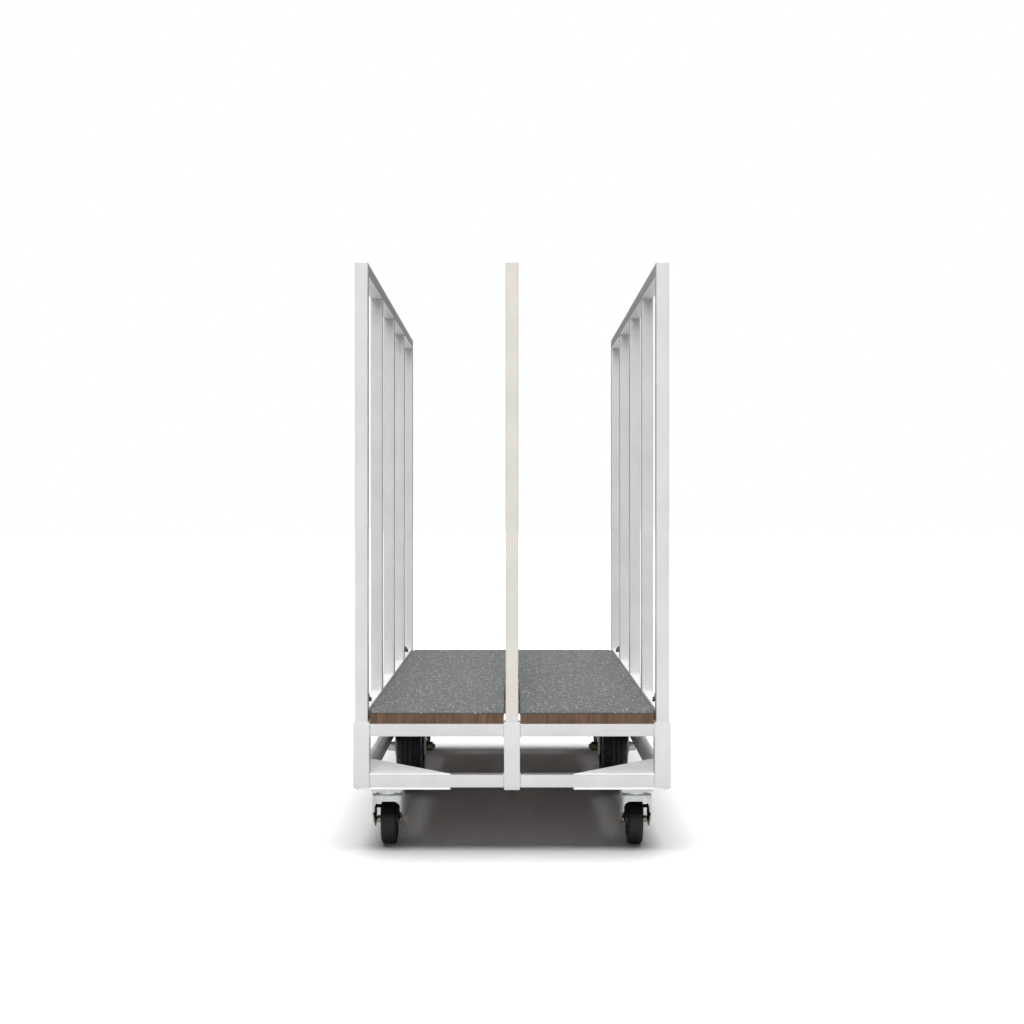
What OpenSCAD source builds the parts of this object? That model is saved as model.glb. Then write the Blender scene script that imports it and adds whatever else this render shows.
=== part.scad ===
/* [Overall size] */
// Length over the corner sockets, front to rear
trolley_length = 1640; // [1200:10:2400]
// Width over the corner sockets
trolley_width = 794; // [620:2:1200]
// Height of the three upright frames above the floor
trolley_height = 1476; // [900:2:2000]

/* [Steel tubes and sockets] */
// Side of the square tube in the base and in the frames
tube = 32; // [25:1:40]
// Wall of the square tube
tube_wall = 2; // [1.5:0.5:4]
// Outside corner radius of the square tube
tube_corner = 2.5; // [1:0.5:4]
// Wall of the sockets that hold the posts
socket_wall = 3; // [2:0.5:5]
// Gap between a post and the bore of its socket
socket_clearance = 1; // [0.5:0.1:2]
// Height of the base from under the lower rails to over the upper rails
base_depth = 160; // [120:1:240]
// How far the sockets stand over the upper rails
socket_rise = 4; // [1:1:20]
// Thickness of the plate under each centre socket
end_plate_t = 5; // [3:1:10]

/* [Upright frames] */
// Number of uprights between the two posts of a frame
upright_count = 3; // [1:1:7]
// Distance of the frame bolts from the post centres
frame_bolt_inset = 145; // [80:5:200]

/* [Deck] */
// Thickness of the plywood boards
board_t = 25; // [12:1:30]
// Thickness of the carpet on the boards
carpet_t = 3; // [2:1:8]
// Gap between a board and the frame beside it
deck_gap = 1; // [0.5:0.5:5]
// Gap between a board and the centre frame
center_slit = 5; // [5:1:20]
// Distance of the joists from the middle of the deck
joist_y = 400; // [200:10:550]
// Diameter of the deck screws
screw_d = 4.8; // [4:0.1:6]
// Length of the deck screws
screw_length = 45; // [30:1:50]

/* [Corner plates] */
// Length of the straight edges of the triangular plates
plate_leg = 240.5; // [190:0.5:320]
// Thickness of the upper gusset plates
gusset_t = 3; // [2:1:8]
// Thickness of the plates that carry the casters
mounting_t = 5; // [4:1:10]
// Chamfer on the outer corner of the caster plates
plate_chamfer = 9; // [2:1:16]

/* [Corner casters] */
// Diameter of the caster wheels
caster_d = 125; // [100:1:160]
// Width of the caster tyres
caster_tyre_w = 38; // [30:1:44]
// Height of the caster head over the top of its wheel
caster_head = 30; // [28:1:45]
// Distance of the wheel axle behind the swivel axis
caster_offset = 40; // [36:1:50]
// Distance of the swivel axis from the side of the trolley
caster_inset_x = 83.5; // [75:0.5:110]
// Distance of the swivel axis from the end of the trolley
caster_inset_y = 58; // [58:1:90]
// Length of the caster top plate
top_plate_l = 105; // [95:1:115]
// Width of the caster top plate
top_plate_w = 80; // [76:1:100]
// Thickness of the caster top plate
top_plate_t = 5; // [3:1:8]
// Bolt spacing along the top plate
bolt_pitch_l = 80; // [76:1:86]
// Bolt spacing across the top plate
bolt_pitch_w = 60; // [56:1:66]
// Diameter of the swivel race under the top plate
race_d = 79; // [76:1:90]
// Height of the swivel race
race_h = 12; // [9:1:16]
// Diameter of the kingpin
kingpin_d = 14; // [10:1:16]
// Sheet thickness of the caster fork
fork_t = 3; // [2:0.5:5]
// Distance between the fork legs
fork_gap = 65; // [56:1:70]
// Diameter of the caster axle bolt
caster_axle_d = 12; // [8:1:14]
// Gap between the brake pad and the tyre with the pedal up
brake_gap = 3.6; // [3.4:0.1:6]

/* [Middle wheels] */
// Diameter of the middle wheels
middle_d = 260; // [200:1:275]
// Width of the middle tyres
middle_tyre_w = 75; // [60:1:78]
// Distance between the legs of a middle fork
middle_fork_gap = 82; // [80:1:110]
// Plate thickness of the middle forks
middle_fork_t = 6; // [4:1:10]
// Diameter of the middle wheel axles
middle_axle_d = 16; // [12:1:20]
// Gap between a middle fork and the side rail beside it
middle_gap = 4; // [2:0.5:20]

/* [Fits] */
// Radial running clearance of wheels, kingpins and pedals
running_fit = 0.05; // [0.02:0.01:0.1]
// Radial clearance of bolts in their holes
bolt_fit = 0.25; // [0.1:0.05:0.6]
// Gap between the faces of a fixed piece and a turning one
face_gap = 0.3; // [0.2:0.1:0.6]

/* [Hidden] */
$fn = 48;

// Overshoot of cuts and overlap of fused shapes
over = 1;

// Colours
powder_white = "#e2e3e3";
zinc = "#b9bcbd";
dull_zinc = "#8f8a80";
wood_brown = "#6a5546";
carpet_grey = "#828282";
black_rubber = "#1c1c1c";
black_plastic = "#0f0f0f";
dark_rim = "#2b2b2d";

// Plan of the posts
socket = tube + 2 * (socket_clearance + socket_wall);
post_x = (trolley_width - socket) / 2;
post_y = (trolley_length - socket) / 2;
plan_x = [-post_x, 0, post_x];
half_tube = tube / 2;
half_socket = socket / 2;

// Levels of the base
caster_height = caster_d + caster_head;
base_z = caster_height + mounting_t;
upper_z = base_z + base_depth - tube;
base_top = base_z + base_depth;
seat_z = base_top + socket_rise;
board_top = base_top + board_t;

// Levels and runs of the frames
frame_rail_top = seat_z + tube;
top_rail_z = trolley_height - tube;
upright_pitch = 2 * post_y / (upright_count + 1);
upright_ys = [for (i = [1:upright_count]) i * upright_pitch - post_y];
frame_rail_length = 2 * (post_y - half_tube);
side_rail_length = 2 * (post_y - half_socket);
end_rail_length = post_x - socket;
joist_length = post_x - tube;
cross_x = post_x / 2;

// Deck outline
board_in = half_tube + center_slit;
board_out = post_x - half_tube - deck_gap;
board_end = post_y + half_tube;
notch_x = post_x - half_socket - deck_gap;
notch_y = post_y - half_socket - deck_gap;
screw_head_d = 2 * screw_d;
screw_sink = screw_d / 2 + bolt_fit;
screw_xs = [board_in + (board_out - board_in) / 4, board_out - (board_out - board_in) / 4];
screw_ys = [-post_y, -joist_y, joist_y, post_y];

// Metric fasteners: width across flats, head and nut heights
m8 = 8;
m8_flats = 13;
m8_head = 5.3;
m8_nut = 6.5;
m10 = 10;
m10_flats = 17;
m10_head = 6.4;
m10_nut = 8.4;
washer_t = 2;
m10_washer_d = 22;
bolt_tail = 7.6;
short_tail = 2;

// Places of the frame bolts
frame_bolt_ys = [frame_bolt_inset - post_y, post_y - frame_bolt_inset];

// Corner casters
caster_x = trolley_width / 2 - caster_inset_x;
caster_y = trolley_length / 2 - caster_inset_y;
caster_r = caster_d / 2;
plate_z = caster_height - top_plate_t;
fork_top = plate_z - race_h - face_gap;
fork_under = fork_top - fork_t;
leg_in = fork_gap / 2;
leg_out = leg_in + fork_t;
race_lip = 1.5;
fork_front = race_lip - race_d / 2;
fork_skirt = 40;
leg_boss_r = 18;
boss_lip = 0.5;
leg_edge_r = leg_boss_r - boss_lip;
arch_lip = 15;
arch_side = 2;
arch_r = 15;
ball_r = 4;
ball_circle_r = 26;
race_bore_r = ball_circle_r + ball_r + face_gap;
kingpin_r = kingpin_d / 2;
kingpin_flange_w = 5;
kingpin_flange_h = 3.5;
kingpin_nut_flats = 22;
kingpin_nut_h = 9;
kingpin_tail = 2.5;
caster_hub_lip = 3;
caster_hub_half = caster_tyre_w / 2 + caster_hub_lip;
caster_hub_r = 16;
caster_spacer_r = 9;
caster_web_t = 14;
caster_tread = 17;
caster_rim_r = caster_r - caster_tread;
caster_rim_t = 7;
caster_rim_inset = 3;
caster_rim_w = caster_tyre_w - 2 * caster_rim_inset;
caster_shoulder = 8;
caster_axle_r = caster_axle_d / 2;
axle_hex_ratio = 1.6;
axle_flats = axle_hex_ratio * caster_axle_d;
axle_head = 7;
pedal_w = 38;
pedal_y = -20;
pedal_drop = 29.7;
pedal_z = fork_top - pedal_drop;
pedal_hub_r = 7.5;
pedal_pin_r = 3;
pin_head_r = 5;
pin_head_h = 1.5;
pad_drop = 13;
pad_w = 4;
pad_tip = 3;
pedal_throat = 5;
pedal_tread = [[-20, 4], [-33, -1], [-34, -15], [-29, -16], [-25, -6]];
pad_y = caster_offset - brake_gap
    - sqrt(pow(caster_r, 2) - pow(pedal_z - pad_drop - caster_r, 2));

// Middle wheels
middle_r = middle_d / 2;
middle_plate_z = upper_z - middle_fork_t;
middle_leg_in = middle_fork_gap / 2;
middle_leg_out = middle_leg_in + middle_fork_t;
middle_x = post_x - half_tube - middle_gap - middle_leg_out;
middle_plate_lip = 9;
middle_plate_w = 2 * (middle_leg_out + middle_plate_lip);
middle_plate_l = 140;
middle_leg_l = 120;
middle_boss_r = 28;
middle_bolt_x = 24;
joist_lip = 1.5;
wheel_joist_y = middle_plate_l / 2 - half_tube - joist_lip;
middle_axle_r = middle_axle_d / 2;
middle_hex_ratio = 1.5;
middle_flats = middle_hex_ratio * middle_axle_d;
middle_hub_gap = 1;
middle_hub_half = middle_leg_in - middle_hub_gap;
middle_hub_r = 26;
middle_tyre_depth = 68;
middle_seat_r = middle_r - middle_tyre_depth;
middle_rim_t = 6;
middle_rim_w = 58;
middle_flange_h = 6;
middle_flange_r = middle_seat_r + middle_flange_h;
middle_flange_w = 3;
middle_web_t = 5;
middle_shoulder = 20;
groove_w = 4;
groove_depth = 5;
groove_pitch = 15;
axle_spacer = 8.5;
axle_spacer_r = 15;
axle_nut_h = 15.5;
inner_washer_t = 2;
inner_nut_h = 18;
axle_end = 6.5;
axle_tail = 3;

// Square with round corners, centred
module rounded_square(side, r) {
    square([side, side - 2 * r], center = true);
    square([side - 2 * r, side], center = true);
    for (x = [-1, 1], y = [-1, 1])
        translate([x * (side / 2 - r), y * (side / 2 - r)])
            circle(r);
}

// Hollow square tube along +Z
module tube_z(length) {
    linear_extrude(length)
        difference() {
            rounded_square(tube, tube_corner);
            square(tube - 2 * tube_wall, center = true);
        }
}

// Hollow square tube centred along X
module tube_x(length) {
    translate([-length / 2, 0, 0])
        rotate([0, 90, 0])
            tube_z(length);
}

// Hollow square tube centred along Y
module tube_y(length) {
    translate([0, -length / 2, 0])
        rotate([-90, 0, 0])
            tube_z(length);
}

// Post with a closed top and an open foot
module post(length) {
    difference() {
        linear_extrude(length)
            rounded_square(tube, tube_corner);
        translate([0, 0, -over])
            linear_extrude(length - tube_wall + over)
                square(tube - 2 * tube_wall, center = true);
    }
}

// Open socket tube
module socket_tube() {
    linear_extrude(seat_z - base_z)
        difference() {
            square(socket, center = true);
            square(socket - 2 * socket_wall, center = true);
        }
}

// Plain hexagon prism given by its width across the flats
module hexagon(flats, height) {
    cylinder(d = flats / cos(30), h = height, $fn = 6);
}

// Copies its children to both sides
module both_sides() {
    children();
    mirror([1, 0, 0])
        children();
}

// Copies its children to the four corners
module four_corners() {
    for (x = [0, 1], y = [0, 1])
        mirror([x, 0, 0])
            mirror([0, y, 0])
                children();
}

// Runs its children at each frame bolt of one frame
module at_frame_bolts() {
    for (y = frame_bolt_ys)
        translate([0, y, 0])
            children();
}

// Runs its children at each deck screw of the right board
module at_deck_screws(ys) {
    for (x = screw_xs, y = ys)
        translate([x, y, 0])
            children();
}

// Runs its children at the four bolts of a caster plate in the right rear corner
module at_plate_bolts() {
    for (x = [-1, 1], y = [-1, 1])
        translate([
            caster_x + x * bolt_pitch_w / 2,
            caster_y + y * bolt_pitch_l / 2,
            0
        ])
            children();
}

// Runs its children at the four bolts of the right middle fork
module at_middle_bolts() {
    for (x = [-1, 1], y = [-1, 1])
        translate([middle_x + x * middle_bolt_x, y * wheel_joist_y, 0])
            children();
}

// Puts a caster piece, drawn round its swivel axis, under one corner
module at_caster(side, end) {
    translate([side * caster_x, end * caster_y, 0])
        rotate([0, 0, end < 0 ? 0 : 180])
            children();
}

// Turns a piece drawn round Z so that its axis lies along X
module along_x() {
    rotate([0, 90, 0])
        children();
}

// Tyre section: radius across, width up, with round outer shoulders
module tyre_section(r_in, r_out, width, shoulder) {
    translate([r_in, -width / 2])
        square([r_out - shoulder - r_in, width]);
    translate([r_in, shoulder - width / 2])
        square([r_out - r_in, width - 2 * shoulder]);
    for (s = [-1, 1])
        translate([r_out - shoulder, s * (width / 2 - shoulder)])
            circle(shoulder);
}

// Point where a line from p touches the circle round c, on the given side
function touch_point(p, c, r, side) =
    let (
        d = norm(c - p),
        a = atan2(c[1] - p[1], c[0] - p[0]) + side * asin(r / d)
    )
    p + sqrt(d * d - r * r) * [cos(a), sin(a)];

// Base

module corner_sockets() {
    color(powder_white)
        four_corners()
            translate([post_x, post_y, base_z])
                socket_tube();
}

module center_sockets() {
    color(powder_white)
        for (y = [-post_y, post_y])
            translate([0, y, base_z])
                socket_tube();
}

module socket_end_plates() {
    color(powder_white)
        for (y = [-post_y, post_y])
            translate([-half_socket, y - half_socket, base_z - end_plate_t])
                cube([socket, socket, end_plate_t]);
}

module end_upper_rails() {
    color(powder_white)
        four_corners()
            difference() {
                translate([cross_x, post_y, upper_z + half_tube])
                    tube_x(end_rail_length);
                at_deck_screws([post_y])
                    translate([0, 0, upper_z + half_tube])
                        cylinder(d = screw_d + 2 * bolt_fit, h = tube);
            }
}

module end_lower_rails() {
    color(powder_white)
        four_corners()
            difference() {
                translate([cross_x, post_y, base_z + half_tube])
                    tube_x(end_rail_length);
                at_plate_bolts()
                    translate([0, 0, base_z - over])
                        cylinder(d = m8 + 2 * bolt_fit, h = half_tube);
            }
}

module side_upper_rails() {
    color(powder_white)
        both_sides()
            difference() {
                translate([post_x, 0, upper_z + half_tube])
                    tube_y(side_rail_length);
                translate([post_x, 0, upper_z - over])
                    at_frame_bolts()
                        cylinder(d = m10 + 2 * bolt_fit, h = tube + 2 * over);
            }
}

module side_lower_rails() {
    color(powder_white)
        both_sides()
            translate([post_x, 0, base_z + half_tube])
                tube_y(side_rail_length);
}

module center_rails() {
    color(powder_white) {
        difference() {
            translate([0, 0, upper_z + half_tube])
                tube_y(side_rail_length);
            translate([0, 0, upper_z - over])
                at_frame_bolts()
                    cylinder(d = m10 + 2 * bolt_fit, h = tube + 2 * over);
        }
        translate([0, 0, base_z + half_tube])
            tube_y(side_rail_length);
    }
}

module deck_joists() {
    color(powder_white)
        four_corners()
            difference() {
                translate([cross_x, joist_y, upper_z + half_tube])
                    tube_x(joist_length);
                at_deck_screws([joist_y])
                    translate([0, 0, upper_z + half_tube])
                        cylinder(d = screw_d + 2 * bolt_fit, h = tube);
            }
}

module wheel_joists() {
    color(powder_white)
        both_sides()
            difference() {
                for (y = [-wheel_joist_y, wheel_joist_y])
                    translate([cross_x, y, upper_z + half_tube])
                        tube_x(joist_length);
                at_middle_bolts()
                    translate([0, 0, upper_z - over])
                        cylinder(d = m10 + 2 * bolt_fit, h = half_tube);
            }
}

// Triangle in the right rear corner, outer edges flush with the rails
module corner_triangle(chamfer) {
    x = post_x + half_tube;
    y = post_y + half_tube;
    polygon([
        [x, y - plate_leg],
        [x, y - chamfer],
        [x - chamfer, y],
        [x - plate_leg, y]
    ]);
}

module corner_gussets() {
    color(powder_white)
        four_corners()
            translate([0, 0, base_z + tube])
                linear_extrude(gusset_t)
                    difference() {
                        corner_triangle(plate_chamfer);
                        translate([post_x - half_socket, post_y - half_socket])
                            square(socket + over);
                    }
}

module caster_mounting_plates() {
    color(powder_white)
        four_corners()
            difference() {
                translate([0, 0, base_z - mounting_t])
                    linear_extrude(mounting_t)
                        corner_triangle(plate_chamfer);
                at_plate_bolts()
                    translate([0, 0, base_z - mounting_t - over])
                        cylinder(d = m8 + 2 * bolt_fit, h = mounting_t + 2 * over);
            }
}

// Deck

module deck_outline() {
    polygon([
        [board_in, -board_end],
        [notch_x, -board_end],
        [notch_x, -notch_y],
        [board_out, -notch_y],
        [board_out, notch_y],
        [notch_x, notch_y],
        [notch_x, board_end],
        [board_in, board_end]
    ]);
}

module right_board() {
    color(wood_brown)
        difference() {
            translate([0, 0, base_top])
                linear_extrude(board_t)
                    deck_outline();
            at_deck_screws(screw_ys) {
                translate([0, 0, base_top - over])
                    cylinder(d = screw_d + 2 * bolt_fit, h = board_t + 2 * over);
                translate([0, 0, board_top - screw_sink])
                    cylinder(
                        d1 = screw_d + 2 * bolt_fit,
                        d2 = screw_d + 2 * (bolt_fit + screw_sink + over),
                        h = screw_sink + over
                    );
            }
        }
}

module right_carpet() {
    color(carpet_grey)
        translate([0, 0, board_top])
            linear_extrude(carpet_t)
                deck_outline();
}

module right_deck_board() {
    right_board();
}

module left_deck_board() {
    mirror([1, 0, 0])
        right_board();
}

module right_deck_carpet() {
    right_carpet();
}

module left_deck_carpet() {
    mirror([1, 0, 0])
        right_carpet();
}

module deck_screws() {
    color(zinc)
        both_sides()
            at_deck_screws(screw_ys) {
                translate([0, 0, board_top - screw_length])
                    cylinder(d = screw_d, h = screw_length - screw_d / 2);
                translate([0, 0, board_top - screw_d / 2])
                    cylinder(d1 = screw_d, d2 = screw_head_d, h = screw_d / 2);
            }
}

// Upright frames

module frame_posts(x) {
    for (y = [-post_y, post_y])
        translate([x, y, base_z])
            post(trolley_height - base_z);
}

module frame_uprights(x) {
    for (y = upright_ys)
        translate([x, y, frame_rail_top])
            tube_z(top_rail_z - frame_rail_top);
}

module frame_top_rail(x) {
    translate([x, 0, top_rail_z + half_tube])
        tube_y(frame_rail_length);
}

module frame_bottom_rail(x) {
    difference() {
        translate([x, 0, seat_z + half_tube])
            tube_y(frame_rail_length);
        translate([x, 0, seat_z - over])
            at_frame_bolts()
                cylinder(d = m10 + 2 * bolt_fit, h = tube + 2 * over);
    }
}

module side_frame_posts() {
    color(powder_white)
        both_sides()
            frame_posts(post_x);
}

module side_frame_uprights() {
    color(powder_white)
        both_sides()
            frame_uprights(post_x);
}

module side_frame_top_rails() {
    color(powder_white)
        both_sides()
            frame_top_rail(post_x);
}

module side_frame_bottom_rails() {
    color(powder_white)
        both_sides()
            frame_bottom_rail(post_x);
}

module divider_posts() {
    color(powder_white)
        frame_posts(0);
}

module divider_uprights() {
    color(powder_white)
        frame_uprights(0);
}

module divider_top_rail() {
    color(powder_white)
        frame_top_rail(0);
}

module divider_bottom_rail() {
    color(powder_white)
        frame_bottom_rail(0);
}

// Bolts rise through the upper base rails and the bottom rails of the frames
module frame_bolts() {
    nut_top = frame_rail_top + washer_t + m10_nut;
    color(dull_zinc)
        for (x = plan_x)
            translate([x, 0, 0])
                at_frame_bolts() {
                    translate([0, 0, upper_z - m10_head])
                        hexagon(m10_flats, m10_head);
                    translate([0, 0, upper_z - over])
                        cylinder(d = m10, h = nut_top + bolt_tail - upper_z + over);
                }
}

module frame_nuts() {
    color(dull_zinc)
        for (x = plan_x)
            translate([x, 0, 0])
                at_frame_bolts() {
                    translate([0, 0, frame_rail_top])
                        ring(m10_washer_d / 2, m10 / 2 + bolt_fit, washer_t);
                    translate([0, 0, frame_rail_top + washer_t])
                        hex_nut(m10_flats, m10, m10_nut);
                }
}

// Flat ring along +Z
module ring(r_out, r_in, height) {
    difference() {
        cylinder(r = r_out, h = height);
        translate([0, 0, -over])
            cylinder(r = r_in, h = height + 2 * over);
    }
}

// Hexagon nut with the bore for its bolt
module hex_nut(flats, bolt, height) {
    difference() {
        hexagon(flats, height);
        translate([0, 0, -over])
            cylinder(d = bolt + bolt_fit, h = height + 2 * over);
    }
}

// Corner casters

module caster_top_plates() {
    color(zinc)
        four_corners()
            difference() {
                translate([
                    caster_x - top_plate_w / 2,
                    caster_y - top_plate_l / 2,
                    plate_z
                ])
                    cube([top_plate_w, top_plate_l, top_plate_t]);
                at_plate_bolts()
                    translate([0, 0, plate_z - over])
                        cylinder(d = m8 + 2 * bolt_fit, h = top_plate_t + 2 * over);
                translate([caster_x, caster_y, plate_z - over])
                    cylinder(r = kingpin_r + bolt_fit, h = top_plate_t + 2 * over);
            }
}

// The nuts of the outer bolts lie inside the lower rails, the others on the plates
module caster_plate_bolts() {
    bolt_top = base_z + tube_wall + m8_nut + short_tail;
    color(zinc)
        four_corners() {
            at_plate_bolts() {
                translate([0, 0, plate_z - m8_head])
                    hexagon(m8_flats, m8_head);
                translate([0, 0, plate_z - over])
                    cylinder(d = m8, h = bolt_top - plate_z + over);
            }
            for (x = [-1, 1], y = [-1, 1])
                translate([
                    caster_x + x * bolt_pitch_w / 2,
                    caster_y + y * bolt_pitch_l / 2,
                    base_z + (y > 0 ? tube_wall : 0)
                ])
                    hex_nut(m8_flats, m8, m8_nut);
        }
}

// Pin hangs in the top plate and holds the fork up with its nut
module caster_kingpins() {
    pin_low = fork_under - face_gap - kingpin_nut_h - kingpin_tail;
    color(zinc)
        four_corners()
            translate([caster_x, caster_y, 0]) {
                translate([0, 0, pin_low])
                    cylinder(r = kingpin_r, h = caster_height - pin_low);
                translate([0, 0, plate_z - kingpin_flange_h])
                    cylinder(r = kingpin_r + kingpin_flange_w, h = kingpin_flange_h);
                translate([0, 0, fork_under - face_gap - kingpin_nut_h])
                    hex_nut(kingpin_nut_flats, kingpin_d, kingpin_nut_h);
            }
}

module caster_races() {
    color(zinc)
        four_corners()
            translate([caster_x, caster_y, plate_z - race_h])
                ring(race_d / 2, race_bore_r, race_h);
}

module caster_ball_rings() {
    color(zinc)
        four_corners()
            translate([caster_x, caster_y, fork_top + face_gap + ball_r])
                rotate_extrude()
                    translate([ball_circle_r, 0])
                        circle(ball_r);
}

// Cross-section of the fork: a flat crown and two straight legs
module fork_section() {
    low = caster_r - leg_boss_r - over;
    difference() {
        translate([-leg_out, low])
            square([2 * leg_out, fork_top - low]);
        translate([-leg_in, low - over])
            square([2 * leg_in, fork_under - low + over]);
    }
}

// Side view of a fork leg, from the front edge back to the axle boss
module fork_side() {
    axle = [caster_offset, caster_r];
    front = [fork_front, fork_top - fork_skirt];
    back = [-fork_front, fork_top];
    polygon([
        [fork_front, fork_top],
        front,
        touch_point(front, axle, leg_edge_r, -1),
        axle,
        touch_point(back, axle, leg_edge_r, 1),
        back
    ]);
    translate(axle)
        circle(leg_boss_r);
}

// Opening in the front wall of the fork, with round upper corners
module fork_arch() {
    low = fork_top - fork_skirt - over;
    top = fork_top - arch_lip;
    half = leg_in - arch_side;
    corner_x = half - arch_r;
    translate([-half, low])
        square([2 * half, top - arch_r - low]);
    translate([-corner_x, low])
        square([2 * corner_x, top - low]);
    for (x = [-corner_x, corner_x])
        translate([x, top - arch_r])
            circle(arch_r);
}

// Fork drawn round the swivel axis, with the wheel trailing towards +Y
module fork(with_brake) {
    reach = caster_offset + leg_boss_r - fork_front + 2 * over;
    color(zinc)
        difference() {
            union() {
                intersection() {
                    translate([0, fork_front + reach - over, 0])
                        rotate([90, 0, 0])
                            linear_extrude(reach)
                                fork_section();
                    translate([-leg_out - over, 0, 0])
                        rotate([90, 0, 90])
                            linear_extrude(2 * (leg_out + over))
                                fork_side();
                }
                translate([-leg_out, fork_front, fork_top - fork_skirt])
                    cube([2 * leg_out, fork_t, fork_skirt]);
            }
            translate([0, fork_front + fork_t + over, 0])
                rotate([90, 0, 0])
                    linear_extrude(fork_t + 2 * over)
                        fork_arch();
            translate([0, 0, fork_under - over])
                cylinder(r = kingpin_r + running_fit, h = fork_t + 2 * over);
            translate([-leg_out - over, caster_offset, caster_r])
                along_x()
                    cylinder(r = caster_axle_r + bolt_fit, h = 2 * (leg_out + over));
            if (with_brake)
                translate([-leg_out - over, pedal_y, pedal_z])
                    along_x()
                        cylinder(r = pedal_pin_r + bolt_fit, h = 2 * (leg_out + over));
        }
}

// Axle bolt with its head on one leg, its nut on the other and a spacer inside each
module caster_axle() {
    spacer_l = leg_in - caster_hub_half - face_gap;
    color(dull_zinc)
        translate([0, caster_offset, caster_r])
            along_x() {
                translate([0, 0, -leg_out - axle_head])
                    hexagon(axle_flats, axle_head);
                translate([0, 0, -leg_out - over])
                    cylinder(r = caster_axle_r, h = 2 * leg_out + axle_head + over);
                translate([0, 0, -leg_in])
                    cylinder(r = caster_spacer_r, h = spacer_l);
                translate([0, 0, leg_in - spacer_l])
                    cylinder(r = caster_spacer_r, h = spacer_l);
                translate([0, 0, leg_out])
                    hex_nut(axle_flats, caster_axle_d, axle_head);
            }
}

module caster_rim() {
    color(dark_rim)
        translate([0, caster_offset, caster_r])
            along_x()
                rotate_extrude() {
                    translate([caster_axle_r + running_fit, -caster_hub_half])
                        square([
                            caster_hub_r - caster_axle_r - running_fit,
                            2 * caster_hub_half
                        ]);
                    translate([caster_hub_r - over, -caster_web_t / 2])
                        square([caster_rim_r - caster_hub_r, caster_web_t]);
                    translate([caster_rim_r - caster_rim_t, -caster_rim_w / 2])
                        square([caster_rim_t, caster_rim_w]);
                }
}

module caster_tyre() {
    color(black_rubber)
        translate([0, caster_offset, caster_r])
            along_x()
                rotate_extrude()
                    tyre_section(caster_rim_r, caster_r, caster_tyre_w, caster_shoulder);
}

// Side view of the pedal: tread at the front, hub on its pin, pad under the hub
module pedal_side() {
    pad = pad_y - pedal_y;
    translate([pedal_y, pedal_z]) {
        polygon(concat(
            [[0, pedal_hub_r]],
            pedal_tread,
            [
                [-pedal_hub_r - over, -pedal_throat],
                [pad - 2 * pad_w, -pad_drop - pad_tip],
                [pad - pad_w, -pad_drop - pad_tip],
                [pad, -pad_drop],
                [pedal_hub_r, 0]
            ]
        ));
        circle(pedal_hub_r);
    }
}

module brake_pedal() {
    color(black_plastic)
        difference() {
            translate([-pedal_w / 2, 0, 0])
                rotate([90, 0, 90])
                    linear_extrude(pedal_w)
                        pedal_side();
            translate([-pedal_w / 2 - over, pedal_y, pedal_z])
                along_x()
                    cylinder(r = pedal_pin_r + running_fit, h = pedal_w + 2 * over);
        }
}

module brake_pin() {
    color(zinc)
        translate([0, pedal_y, pedal_z])
            along_x() {
                translate([0, 0, -leg_out - pin_head_h])
                    cylinder(r = pin_head_r, h = pin_head_h);
                translate([0, 0, -leg_out - over])
                    cylinder(r = pedal_pin_r, h = 2 * (leg_out + over));
                translate([0, 0, leg_out])
                    cylinder(r = pin_head_r, h = pin_head_h);
            }
}

// Middle wheels

// Side view of a leg of the middle fork
module middle_leg_side() {
    axle = [0, middle_r];
    corner = [middle_leg_l / 2, middle_plate_z];
    back = touch_point(corner, axle, middle_boss_r, 1);
    front = touch_point([-corner[0], corner[1]], axle, middle_boss_r, -1);
    polygon([[-corner[0], corner[1]], corner, back, axle, front]);
    translate(axle)
        circle(middle_boss_r);
}

module middle_forks() {
    color(powder_white)
        both_sides()
            difference() {
                union() {
                    translate([
                        middle_x - middle_plate_w / 2,
                        -middle_plate_l / 2,
                        middle_plate_z
                    ])
                        cube([middle_plate_w, middle_plate_l, middle_fork_t]);
                    for (x = [-middle_leg_out, middle_leg_in])
                        translate([middle_x + x, 0, 0])
                            rotate([90, 0, 90])
                                linear_extrude(middle_fork_t)
                                    middle_leg_side();
                }
                at_middle_bolts()
                    translate([0, 0, middle_plate_z - over])
                        cylinder(d = m10 + 2 * bolt_fit, h = middle_fork_t + 2 * over);
                translate([middle_x - middle_leg_out - over, 0, middle_r])
                    along_x()
                        cylinder(
                            r = middle_axle_r + bolt_fit,
                            h = 2 * (middle_leg_out + over)
                        );
            }
}

// Bolts under the fork plates, with nuts inside the joists
module middle_fork_bolts() {
    bolt_top = upper_z + tube_wall + m10_nut + short_tail;
    color(dull_zinc)
        both_sides()
            at_middle_bolts() {
                translate([0, 0, middle_plate_z - m10_head])
                    hexagon(m10_flats, m10_head);
                translate([0, 0, middle_plate_z - over])
                    cylinder(d = m10, h = bolt_top - middle_plate_z + over);
                translate([0, 0, upper_z + tube_wall])
                    hex_nut(m10_flats, m10, m10_nut);
            }
}

module middle_axles() {
    low = -middle_leg_out - inner_washer_t - inner_nut_h - axle_end;
    high = middle_leg_out + axle_spacer + axle_nut_h + axle_tail;
    color(dull_zinc)
        both_sides()
            translate([middle_x, 0, middle_r])
                along_x()
                    translate([0, 0, low])
                        cylinder(r = middle_axle_r, h = high - low);
}

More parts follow.
